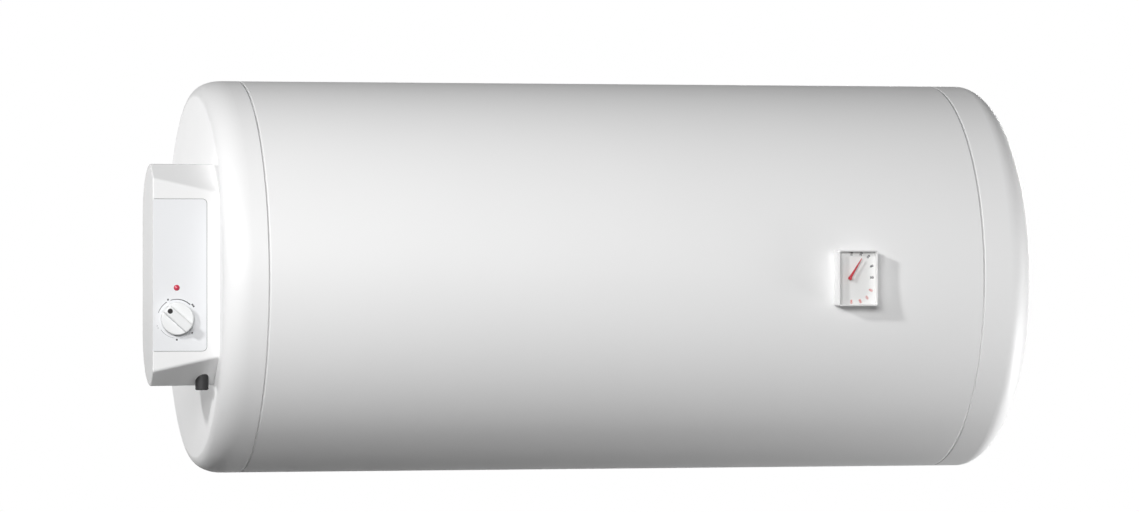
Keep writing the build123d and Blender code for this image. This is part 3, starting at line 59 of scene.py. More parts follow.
# The smoothest that a surface gets, how far drawing stretches a metal's grain along X, and how ragged the
# slow drift between a finish's two colours is.
SMOOTHEST, DRAWN_STRETCH, DRIFT_DETAIL = 0.02, 0.02, 2.0
# The sockets that a Mix node takes its two numbers or its two colours from, and the one that gives its
# colour.
NUMBER_A, NUMBER_B, COLOUR_A, COLOUR_B, COLOUR_OUT = 2, 3, 6, 7, 2
# Steps of each round: a bead round the drum, a turn of thread, a gasket's corner, a cord's section, and
# the thread's own section, which is a square on its edge.
BEAD_STEPS, TURN_STEPS, CORNER_STEPS, CORD_SIDES, RIDGE_SIDES = 240, 48, 8, 8, 4


def linear(hex_colour: str) -> tuple[float, float, float, float]:
    """Turns an sRGB hex colour into a linear one.

    Args:
        hex_colour: Six hex digits, such as "f2f2f0".

    Returns:
        Red, green, blue and an alpha of 1, linear.
    """
    channels = []
    for start in (0, 2, 4):
        value = int(hex_colour[start:start + 2], 16) / 255
        channels.append(value / 12.92 if value <= 0.04045 else ((value + 0.055) / 1.055) ** 2.4)
    return channels[0], channels[1], channels[2], 1.0


def add_node(tree: bpy.types.NodeTree, kind: str, inputs: dict[Any, Any] | None = None,
             **settings: Any) -> Any:
    """Adds a node with its settings, values and links.

    Args:
        tree: The node tree that gets it.
        kind: The node's type name.
        inputs: Socket name or number to a value, or to the socket that feeds it.
        **settings: The node's own properties.

    Returns:
        The new node.
    """
    node = tree.nodes.new(kind)
    for name, value in settings.items():
        setattr(node, name, value)
    for key, value in (inputs or {}).items():
        if isinstance(value, bpy.types.NodeSocket):
            tree.links.new(value, node.inputs[key])
        else:
            node.inputs[key].default_value = value
    return node


class Grain(Enum):
    """How a surface was made, which decides its pattern."""

    PEEL = "stoved paint, with a faint orange peel"
    SPARK = "moulded in a spark-eroded tool"
    POLISHED = "moulded or cast in a polished tool"
    DRAWN = "drawn or brushed along X"
    SPANGLE = "dipped in zinc, which cools in flakes"
    CELLS = "foamed, with open cells at the cut"


@dataclass(frozen=True)
class Finish:
    """A finish: what the material is, and what its making leaves on the surface.

    Attributes:
        name: The material's common name and how it was made.
        slot: The record's material slot that it is named for; not used.
        colour: Main colour, sRGB hex.
        second: The colour that it drifts to, sRGB hex.
        roughness: Mean roughness.
        grain: How the surface was made.
        grain_mm: Size of the pattern.
        depth_mm: Height of the pattern's relief.
        metallic: 1 for bare metal.
        ior: Index of refraction.
        coat: Weight of a clear coat.
        coat_roughness: The clear coat's own roughness.
        alpha: Opacity.
        drift_mm: Size of the slow drift between the two colours.
        spread: How far the pattern moves the roughness.
        rolled: Whether its edges are rolled over where the jacket meets the moulded ends.
    """

    name: str
    slot: str
    colour: str
    second: str
    roughness: float
    grain: Grain
    grain_mm: float
    depth_mm: float
    metallic: float = 0.0
    ior: float = 1.5
    coat: float = 0.0
    coat_roughness: float = 0.06
    alpha: float = 1.0
    drift_mm: float = 160.0
    spread: float = 0.04
    rolled: bool = False

    def roll_edges(self, tree: bpy.types.NodeTree, place: bpy.types.NodeSocket) -> bpy.types.NodeSocket:
        """Rolls the surface over on both sides of each end's groove, which then catches the light.

        Args:
            tree: The material's node tree.
            place: Object coordinates.

        Returns:
            A socket with the tilted normal.
        """
        along = add_node(tree, "ShaderNodeSeparateXYZ", {0: place}).outputs["X"]
        end = add_node(tree, "ShaderNodeMath", {0: along}, operation="ABSOLUTE")
        away = add_node(tree, "ShaderNodeMath", {0: end.outputs[0], 1: GROOVE_X * MM},
                        operation="SUBTRACT")
        gap = add_node(tree, "ShaderNodeMath", {0: away.outputs[0]}, operation="ABSOLUTE")
        rise = add_node(tree, "ShaderNodeMapRange",
                        {"Value": gap.outputs[0], "From Min": GROOVE_HALF * MM,
                         "From Max": (GROOVE_HALF + ROLL_WIDTH) * MM})
        rolled = add_node(tree, "ShaderNodeBump",
                          {"Height": rise.outputs[0], "Distance": ROLL_DEPTH * MM})
        return rolled.outputs[0]

    def pattern(self, tree: bpy.types.NodeTree, place: bpy.types.NodeSocket) -> bpy.types.NodeSocket:
        """Makes the pattern that the surface's making leaves.

        Args:
            tree: The material's node tree.
            place: Object coordinates.

        Returns:
            A socket with a height from 0 to 1.
        """
        scale = 1 / (self.grain_mm * MM)
        if self.grain in (Grain.SPANGLE, Grain.CELLS):
            cells = add_node(tree, "ShaderNodeTexVoronoi", {"Vector": place, "Scale": scale})
            if self.grain is Grain.CELLS:
                return cells.outputs["Distance"]
            return add_node(tree, "ShaderNodeSeparateColor", {0: cells.outputs["Color"]}).outputs[0]
        if self.grain is Grain.DRAWN:
            stretch = add_node(tree, "ShaderNodeMapping",
                               {"Vector": place, "Scale": (DRAWN_STRETCH, 1.0, 1.0)})
            place = stretch.outputs[0]
        detail = {Grain.PEEL: 1.0, Grain.SPARK: 4.0, Grain.POLISHED: 0.0, Grain.DRAWN: 3.0}[self.grain]
        noise = add_node(tree, "ShaderNodeTexNoise", {"Vector": place, "Scale": scale, "Detail": detail})
        return noise.outputs[0]

    def material(self) -> bpy.types.Material:
        """Builds the finish as a node material, once.

        Returns:
            The material, shared by all pieces with this finish.
        """
        found = bpy.data.materials.get(self.name)
        if found:
            return found
        made = bpy.data.materials.new(self.name)
        made.use_nodes = True
        tree = made.node_tree
        tree.nodes.clear()
        place = add_node(tree, "ShaderNodeTexCoord").outputs["Object"]
        height = self.pattern(tree, place)
        drift = add_node(tree, "ShaderNodeTexNoise",
                         {"Vector": place, "Scale": 1 / (self.drift_mm * MM), "Detail": DRIFT_DETAIL})
        fleck = self.grain in (Grain.SPANGLE, Grain.CELLS, Grain.DRAWN)
        colour = add_node(tree, "ShaderNodeMix",
                          {0: height if fleck else drift.outputs[0], COLOUR_A: linear(self.colour),
                           COLOUR_B: linear(self.second)}, data_type="RGBA")
        rough = add_node(tree, "ShaderNodeMapRange",
                         {"Value": height, "To Min": max(self.roughness - self.spread, SMOOTHEST),
                          "To Max": self.roughness + self.spread})
        bump = add_node(tree, "ShaderNodeBump", {"Height": height, "Distance": self.depth_mm * MM})
        if self.rolled:
            tree.links.new(self.roll_edges(tree, place), bump.inputs["Normal"])
        shader = add_node(tree, "ShaderNodeBsdfPrincipled",
                          {"Base Color": colour.outputs[COLOUR_OUT], "Roughness": rough.outputs[0],
                           "Normal": bump.outputs[0], "Metallic": self.metallic, "IOR": self.ior,
                           "Coat Weight": self.coat, "Coat Roughness": self.coat_roughness,
                           "Alpha": self.alpha})
        add_node(tree, "ShaderNodeOutputMaterial", {"Surface": shader.outputs[0]})
        return made


# The patterns have the size of the real ones, apart from the grain of spark-eroded tools and of ink,
# which is about a tenth of a millimetre and is drawn coarser so that it shows.
# Polyester powder coat on sheet steel: a soft gloss that spreads a lamp into a broad band.
JACKET = Finish("powder_coated_steel", "jacket_enamel", "f3f3f3", "f0f0f0", 0.50, Grain.PEEL, 2.2, 0.006,
                rolled=True)
# ABS from a polished tool: a clearer reflection than the jacket's.
CAP = Finish("polished_white_abs", "cap_plastic", "f4f4f4", "f2f2f2", 0.46, Grain.POLISHED, 14.0, 0.02,
             ior=1.53, rolled=True)
# ABS from a lightly eroded tool: the control cover's even satin.
COVER = Finish("satin_white_abs", "cover_plastic", "f3f3f3", "f1f1f1", 0.22, Grain.SPARK, 0.9, 0.003,
               ior=1.53)
# Polycarbonate sheet with a screen-printed face: flat, a little greyer than the cover.
PANEL = Finish("printed_polycarbonate_sheet", "panel_film", "e9eaec", "e8e9eb", 0.33, Grain.SPARK, 1.2,
               0.002, ior=1.58)
# ABS knob, fine-grained so that fingers grip it.
KNOB = Finish("grained_white_abs", "knob_plastic", "f1f2f2", "eff0f0", 0.34, Grain.SPARK, 0.8, 0.006,
              ior=1.53)
# Screen-printing ink, cured to a low gloss.
DARK_INK = Finish("dark_screen_ink", "black_print", "2a2a2c", "303032", 0.45, Grain.SPARK, 0.5, 0.002)
PALE_INK = Finish("grey_screen_ink", "black_print", "86868a", "8e8e92", 0.45, Grain.SPARK, 0.5, 0.002)
RED_INK = Finish("red_screen_ink", "needle_paint", "da8480", "de8a86", 0.45, Grain.SPARK, 0.5, 0.002)
DIAL_INK = Finish("charcoal_dial_ink", "black_print", "4a4a4e", "505054", 0.45, Grain.SPARK, 0.5, 0.002)
# Black ABS pressed into the knob: a small, dull dot.
BLACK_DOT = Finish("black_moulded_insert", "black_print", "1c1a1b", "222021", 0.35, Grain.POLISHED, 3.0,
                   0.004)
# Tinted acrylic over a glow lamp: deep colour with a hard gloss.
RED_LENS = Finish("red_acrylic_lens", "red_lens", "c42440", "cc3050", 0.10, Grain.POLISHED, 3.0, 0.004,
                  ior=1.49, coat=0.6)
# Polystyrene from a polished tool: crisp edges with a clear reflection.
GAUGE = Finish("white_polystyrene_case", "gauge_plastic", "f4f4f4", "f2f2f2", 0.20, Grain.POLISHED, 8.0,
               0.01, ior=1.59)
# Clear polystyrene: hardly seen, apart from a faint sheen over the dial.
WINDOW = Finish("clear_polystyrene_window", "gauge_clear", "f6f8f8", "f2f6f6", 0.05, Grain.POLISHED,
                18.0, 0.01, ior=1.59, alpha=0.03)
# Varnished card: matt and even.
DIAL = Finish("varnished_dial_card", "dial_card", "f3f3f2", "f1f1f0", 0.50, Grain.SPARK, 0.6, 0.004)
# Stamped steel under red lacquer: a strong colour with a small gloss.
NEEDLE = Finish("red_lacquered_steel", "needle_paint", "cc1430", "c2102a", 0.22, Grain.PEEL, 1.2, 0.002,
                coat=0.3)
# Turned brass and drawn copper: warm metals whose streaks soften what they mirror.
BRASS = Finish("turned_brass", "brass", "d9bd82", "cfae70", 0.33, Grain.DRAWN, 0.5, 0.004, metallic=1.0)
COPPER = Finish("drawn_copper", "copper", "c98a68", "ba7a5a", 0.33, Grain.DRAWN, 0.6, 0.004,
                metallic=1.0)
# Enamel fired on the tank: deep blue and wet-looking.
ENAMEL = Finish("vitreous_blue_enamel", "tank_enamel", "22304a", "1c2a44", 0.12, Grain.PEEL, 1.6, 0.01,
                coat=0.5)
# Rigid foam where it is cut: its cells are a third of a millimetre, drawn coarser so that they show.
FOAM = Finish("cut_polyurethane_foam", "foam", "d9c68c", "b59d62", 0.85, Grain.CELLS, 2.4, 0.6,
              spread=0.08)
# Hot-dip zinc on pressed steel: flakes of slightly different grey.
ZINC = Finish("zinc_dipped_steel", "zinc_steel", "c6c9cc", "a9adb1", 0.38, Grain.SPANGLE, 5.0, 0.004,
              metallic=1.0, spread=0.10)
# Drawn steel tube: a duller grey than the zinc, with streaks along it.
PIPE = Finish("drawn_steel_tube", "pipe_steel", "b9bbbd", "a4a6a8", 0.32, Grain.DRAWN, 0.7, 0.006,
              metallic=1.0)
# Moulded rubber: a matt black that shows little shape. The same black is also laid in the gap round the
# control panel as painted shade.
RUBBER_AND_GAP_SHADE = Finish("moulded_black_rubber_and_painted_gap_shade", "black_rubber", "1d1d1e", "262627", 0.60, Grain.SPARK, 0.8, 0.02)
# Cast magnesium: a rough, dull grey.
MAGNESIUM = Finish("cast_magnesium", "magnesium", "b4b6b8", "9c9ea0", 0.55, Grain.SPARK, 1.5, 0.05,
                   metallic=1.0)
# Polypropylene rings: a waxy gloss in a strong colour.
BLUE_RING = Finish("blue_polypropylene", "blue_plastic", "1f5fae", "1a56a2", 0.32, Grain.POLISHED, 6.0,
                   0.01)
RED_RING = Finish("red_polypropylene", "red_plastic", "c4232a", "b81e26", 0.32, Grain.POLISHED, 6.0,
                  0.01)
# Undyed nylon: a warm, slightly waxy white.
NYLON = Finish("natural_nylon", "white_nylon", "e6e4dc", "dedbd0", 0.42, Grain.SPARK, 1.2, 0.01)
# Switch mouldings, black phenolic and cream urea: hard, with a low gloss.
PHENOLIC = Finish("black_phenolic", "black_phenolic", "232222", "2c2a29", 0.40, Grain.SPARK, 1.0, 0.01)
CREAM = Finish("cream_urea_moulding", "cream_plastic", "e3dcc4", "dad2b8", 0.38, Grain.SPARK, 1.0, 0.01)
# Sleeves of the wires: smooth, soft-looking plastic.
BROWN_PVC = Finish("brown_pvc_sleeve", "brown_sleeve", "6b4028", "5e3722", 0.40, Grain.POLISHED, 4.0,
                   0.01)
BLUE_PVC = Finish("blue_pvc_sleeve", "blue_sleeve", "2f62ad", "2a589e", 0.40, Grain.POLISHED, 4.0, 0.01)
GREEN_PVC = Finish("green_yellow_pvc_sleeve", "earth_sleeve", "5f9a3a", "d8c832", 0.40, Grain.DRAWN, 2.6,
                   0.01)
BLACK_PVC = Finish("black_pvc_sleeve", "black_sleeve", "232324", "2b2b2c", 0.40, Grain.POLISHED, 4.0,
                   0.01)


class Body(Enum):
    """The bodies that pieces ride on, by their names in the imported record."""

    HEATER = "heater"
    KNOB = "knob"
    NEEDLE = "needle"
    BUTTON = "reset_button"


@dataclass
class Assembly:
    """What every sub-assembly shares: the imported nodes, and how a new piece joins the model.

    Attributes:
        nodes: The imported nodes, by name.
    """

    nodes: dict[str, bpy.types.Object]

    def dress(self, finish: Finish, *names: str) -> None:
        """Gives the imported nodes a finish.

        Args:
            finish: The finish.
            *names: The nodes that get it.
        """
        for name in names:
            for slot in self.nodes[name].material_slots:
                slot.material = finish.material()
        LOG.info("%s: %s", finish.name, ", ".join(names))

    def add_mesh(self, name: str, points: list[Any], faces: list[Any],
                 finish: Finish) -> bpy.types.Object:
        """Adds a mesh piece that rides on the heater.

        Args:
            name: The piece's name.
            points: Corner points, in metres, in the model's frame.
            faces: Corner numbers of each face, turned outwards.
            finish: Its finish.

        Returns:
            The piece's object.
        """
        mesh = bpy.data.meshes.new(name)
        mesh.from_pydata([tuple(point) for point in points], [], faces)
        mesh.materials.append(finish.material())
        mesh.validate()
        return self.join_body(bpy.data.objects.new(name, mesh), finish)

    def join_body(self, piece: bpy.types.Object, finish: Finish,
                  body: Body = Body.HEATER) -> bpy.types.Object:
        """Links a finished piece into the scene and rides it on its body.

        Args:
            piece: A mesh object at the origin.
            finish: Its finish; not used.
            body: The body that it rides on.

        Returns:
            The same object.
        """
        if not piece.users_collection:
            bpy.context.scene.collection.objects.link(piece)
        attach(piece, body.value)
        LOG.info("%s rides on %s", piece.name, body.value)
        return piece

    def grow(self, name: str, points: list[Vector], tree: bpy.types.NodeTree, sizes: dict[str, Any],
             finish: Finish, place: Matrix, turns: list[float] | None = None,
             path: bool = False) -> bpy.types.Object:
        """Runs a Geometry Nodes tree on some points and keeps its result as a plain mesh.

        Args:
            name: The piece's name.
            points: The points that the tree starts from, in the tree's own space.
            tree: The tree.
            sizes: Values of its named inputs.
            finish: The finish that its Set Material node gives.
            place: What moves the result into the model's frame.
            turns: An angle in radians for each point, as the attribute "turn".
            path: Whether the points are joined in a line, for a tree that follows it.

        Returns:
            The piece's object.
        """
        seed = bpy.data.meshes.new(name + "_points")
        links = [(number, number + 1) for number in range(len(points) - 1)] if path else []
        seed.from_pydata([tuple(point) for point in points], links, [])
        if turns is not None:
            attribute = seed.attributes.new("turn", "FLOAT", "POINT")
            attribute.data.foreach_set("value", turns)
        carrier = bpy.data.objects.new(name + "_carrier", seed)
        bpy.context.scene.collection.objects.link(carrier)
        modifier = carrier.modifiers.new("grow", "NODES")
        modifier.node_group = tree
        values = {**sizes, "Material": finish.material()}
        for item in tree.interface.items_tree:
            if item.item_type == "SOCKET" and item.in_out == "INPUT" and item.name in values:
                modifier[item.identifier] = values[item.name]
        bpy.context.view_layer.update()
        graph = bpy.context.evaluated_depsgraph_get()
        mesh = bpy.data.meshes.new_from_object(carrier.evaluated_get(graph))
        bpy.data.objects.remove(carrier)
        mesh.name = name
        mesh.transform(place)
        return self.join_body(bpy.data.objects.new(name, mesh), finish)


def new_growth(name: str, inputs: dict[str, str]) -> tuple[bpy.types.NodeTree, Any]:
    """Starts a Geometry Nodes tree with named inputs.

    Args:
        name: The tree's name.
        inputs: Input name to socket type.

    Returns:
        The tree and its Group Input node.
    """
    tree = bpy.data.node_groups.new(name, "GeometryNodeTree")
    tree.interface.new_socket("Geometry", in_out="INPUT", socket_type="NodeSocketGeometry")
    for label, kind in inputs.items():
        tree.interface.new_socket(label, in_out="INPUT", socket_type=kind)
    tree.interface.new_socket("Material", in_out="INPUT", socket_type="NodeSocketMaterial")
    tree.interface.new_socket("Geometry", in_out="OUTPUT", socket_type="NodeSocketGeometry")
    return tree, add_node(tree, "NodeGroupInput")


def sweep_cord(tree: bpy.types.NodeTree, line: bpy.types.NodeSocket, sides: int,
               radius: bpy.types.NodeSocket, capped: bool) -> bpy.types.NodeSocket:
    """Sweeps a round section along a line.

    Args:
        tree: The tree.
        line: The curve that it follows.
        sides: Sides of the section.
        radius: Radius of the section.
        capped: Whether its ends are closed.

    Returns:
        A socket with the mesh.
    """
    section = add_node(tree, "GeometryNodeCurvePrimitiveCircle", {"Resolution": sides, "Radius": radius})
    swept = add_node(tree, "GeometryNodeCurveToMesh",
                     {"Curve": line, "Profile Curve": section.outputs[0], "Fill Caps": capped})
    return swept.outputs[0]


def end_growth(tree: bpy.types.NodeTree, start: Any, shape: bpy.types.NodeSocket) -> bpy.types.NodeTree:
    """Ends a Geometry Nodes tree: its instances become real and take the material.

    Args:
        tree: The tree.
        start: Its Group Input node.
        shape: The geometry that it ends with.

    Returns:
        The same tree.
    """
    real = add_node(tree, "GeometryNodeRealizeInstances", {0: shape})
    painted = add_node(tree, "GeometryNodeSetMaterial",
                       {"Geometry": real.outputs[0], "Material": start.outputs["Material"]})
    add_node(tree, "NodeGroupOutput", {0: painted.outputs[0]})
    return tree


def marks_growth() -> bpy.types.NodeTree:
    """Makes the tree that prints a small block at each point, turned by its "turn" attribute.

    Returns:
        A tree with the inputs Width, Length and Thickness.
    """
    floats = dict.fromkeys(("Width", "Length", "Thickness"), "NodeSocketFloat")
    tree, start = new_growth("printed_marks", floats)
    size = add_node(tree, "ShaderNodeCombineXYZ",
                    {0: start.outputs["Length"], 1: start.outputs["Width"],
                     2: start.outputs["Thickness"]})
    block = add_node(tree, "GeometryNodeMeshCube", {"Size": size.outputs[0]})
    turn = add_node(tree, "GeometryNodeInputNamedAttribute", {"Name": "turn"}, data_type="FLOAT")
    turned = add_node(tree, "ShaderNodeCombineXYZ", {2: turn.outputs[0]})
    placed = add_node(tree, "GeometryNodeInstanceOnPoints",
                      {"Points": start.outputs[0], "Instance": block.outputs[0],
                       "Rotation": turned.outputs[0]})
    return end_growth(tree, start, placed.outputs[0])


def thread_growth() -> bpy.types.NodeTree:
    """Makes the tree that winds a thread's ridge along Z, from the point that it is given.

    Returns:
        A tree with the inputs Turns, Radius, Length and Ridge.
    """
    kinds = dict.fromkeys(("Turns", "Radius", "Length", "Ridge"), "NodeSocketFloat")
    tree, start = new_growth("thread_ridge", kinds)
    helix = add_node(tree, "GeometryNodeCurveSpiral",
                     {"Resolution": TURN_STEPS, "Rotations": start.outputs["Turns"],
                      "Start Radius": start.outputs["Radius"], "End Radius": start.outputs["Radius"],
                      "Height": start.outputs["Length"]})
    ridge = sweep_cord(tree, helix.outputs[0], RIDGE_SIDES, start.outputs["Ridge"], True)
    placed = add_node(tree, "GeometryNodeInstanceOnPoints",
                      {"Points": start.outputs[0], "Instance": ridge})
    return end_growth(tree, start, placed.outputs[0])


def bead_growth() -> bpy.types.NodeTree:
    """Makes the tree that rolls a round bead in a circle round Z.

    Returns:
        A tree with the inputs Radius and Bead.
    """
    kinds = dict.fromkeys(("Radius", "Bead"), "NodeSocketFloat")
    tree, start = new_growth("rolled_bead", kinds)
    ring = add_node(tree, "GeometryNodeCurvePrimitiveCircle",
                    {"Resolution": BEAD_STEPS, "Radius": start.outputs["Radius"]})
    bead = sweep_cord(tree, ring.outputs[0], CORD_SIDES, start.outputs["Bead"], False)
    placed = add_node(tree, "GeometryNodeInstanceOnPoints",
                      {"Points": start.outputs[0], "Instance": bead})
    return end_growth(tree, start, placed.outputs[0])


def gap_shade_growth() -> bpy.types.NodeTree:
    """Makes the tree that lays a round cord along a path and rounds the path's corners, for the dark cord
    of painted shade in the panel's gap.

    Returns:
        A tree with the inputs Corner and Cord.
    """
    kinds = dict.fromkeys(("Corner", "Cord"), "NodeSocketFloat")
    tree, start = new_growth("laid_gap_shade", kinds)
    line = add_node(tree, "GeometryNodeMeshToCurve", {0: start.outputs[0]})
    rounded = add_node(tree, "GeometryNodeFilletCurve",
                       {"Curve": line.outputs[0], "Radius": start.outputs["Corner"],
                        "Count": CORNER_STEPS}, mode="POLY")
    cord = sweep_cord(tree, rounded.outputs[0], CORD_SIDES, start.outputs["Cord"], True)
    return end_growth(tree, start, cord)


def front_matrix(x: float, y: float, z: float) -> Matrix:
    """Places what is drawn in a flat XY plane on a face that looks to the front.

    Args:
        x: Millimetres along the drum.
        y: Millimetres into the wall.
        z: Millimetres up.

    Returns:
        A matrix that turns drawn X, Y and Z to the right, up and to the front.
    """
    axes = Matrix(((1, 0, 0, 0), (0, 0, -1, 0), (0, 1, 0, 0), (0, 0, 0, 1)))
    return Matrix.Translation(Vector((x, y, z)) * MM) @ axes


def along_matrix(x: float, y: float, z: float) -> Matrix:
    """Places what is drawn round Z on an axis that runs along the drum.

    Args:
        x: Millimetres along the drum.
        y: Millimetres into the wall.
        z: Millimetres up.

    Returns:
        A matrix that turns drawn Z to X.
    """
    return Matrix.Translation(Vector((x, y, z)) * MM) @ Matrix.Rotation(math.radians(90), 4, "Y")


@dataclass
class Casing(Assembly):
    """The drum's jacket and its two moulded ends, with the lock seam and the beads in the grooves.

    Attributes:
        jacket_radius: Radius of the drum.
        axis_y: Y of the drum's axis.
        half_length: Distance from the middle to each end's seam.
        seam_lean: Where the lock seam lies, in degrees below the level that faces the wall.
        seam_width: Width of the folded seam.
        seam_height: How far it stands out.
        seam_inset: Gap between the seam's ends and the moulded ends.
        seam_sink: How far its foot lies below the jacket's surface.
        seam_steps: Flats across the seam.
        seam_swell: How squarely it rises: 1 is a half round, less is squarer.
        bead: Radius of the rolled bead that lies in each end's groove.
        bead_below: How far the bead stays below the jacket's surface.
        hem_x: Where the bead lies on the jacket's hem, from the middle.
        lip_x: Where the bead lies on the domed end's lip, from the middle.
    """

    jacket_radius: float = 227.0
    axis_y: float = -234.0
    half_length: float = 418.1
    seam_lean: float = 42.0
    seam_width: float = 9.0
    seam_height: float = 0.7
    seam_inset: float = 1.0
    seam_sink: float = 0.1
    seam_steps: int = 6
    seam_swell: float = 0.25
    bead: float = 0.26
    bead_below: float = 0.03
    hem_x: float = -418.36
    lip_x: float = 418.64

    def build(self) -> None:
        """Dresses the casing, folds the seam and rolls the beads."""
        self.dress(JACKET, "outer_jacket")
        self.dress(CAP, "control_end_cap", "dome_end_cap", "service_cover")
        self.lay_seam()
        self.roll_bead("jacket_hem", self.hem_x, JACKET)
        self.roll_bead("dome_lip", self.lip_x, CAP)

    def roll_bead(self, name: str, x: float, finish: Finish) -> None:
        """Rolls the fine bead that catches the light in an end's groove.

        Args:
            name: The piece's name.
            x: Where it lies along the drum.
            finish: Its finish.
        """
        radius = self.jacket_radius - self.bead - self.bead_below
        sizes = {"Radius": radius * MM, "Bead": self.bead * MM}
        place = along_matrix(x, self.axis_y, 0)
        self.grow(name, [Vector((0, 0, 0))], bead_growth(), sizes, finish, place=place)

    def lay_seam(self) -> None:
        """Lays the folded lock seam along the jacket, low on the side that faces the wall."""
        section = []
        steps = self.seam_steps
        half_turn = self.seam_width / self.jacket_radius / 2
        for step in range(steps + 1):
            share = step / steps
            angle = math.radians(-self.seam_lean) + (2 * share - 1) * half_turn
            rise = 0.0
            if 0 < share < 1:
                rise = self.seam_height * math.sin(math.pi * share) ** self.seam_swell
            section.append((self.jacket_radius - self.seam_sink + rise, angle))
        length = self.half_length - self.seam_inset
        points = []
        for x in (-length, length):
            for radius, angle in section:
                across, up = radius * math.cos(angle), radius * math.sin(angle)
                points.append(Vector((x, self.axis_y + across, up)) * MM)
        count = steps + 1
        faces = [(i, i + 1, i + 1 + count, i + count) for i in range(steps)]
        faces.append(tuple(range(count - 1, -1, -1)))
        faces.append(tuple(range(count, 2 * count)))
        faces.append((0, count, 2 * count - 1, count - 1))
        self.add_mesh("jacket_lock_seam", points, faces, JACKET)


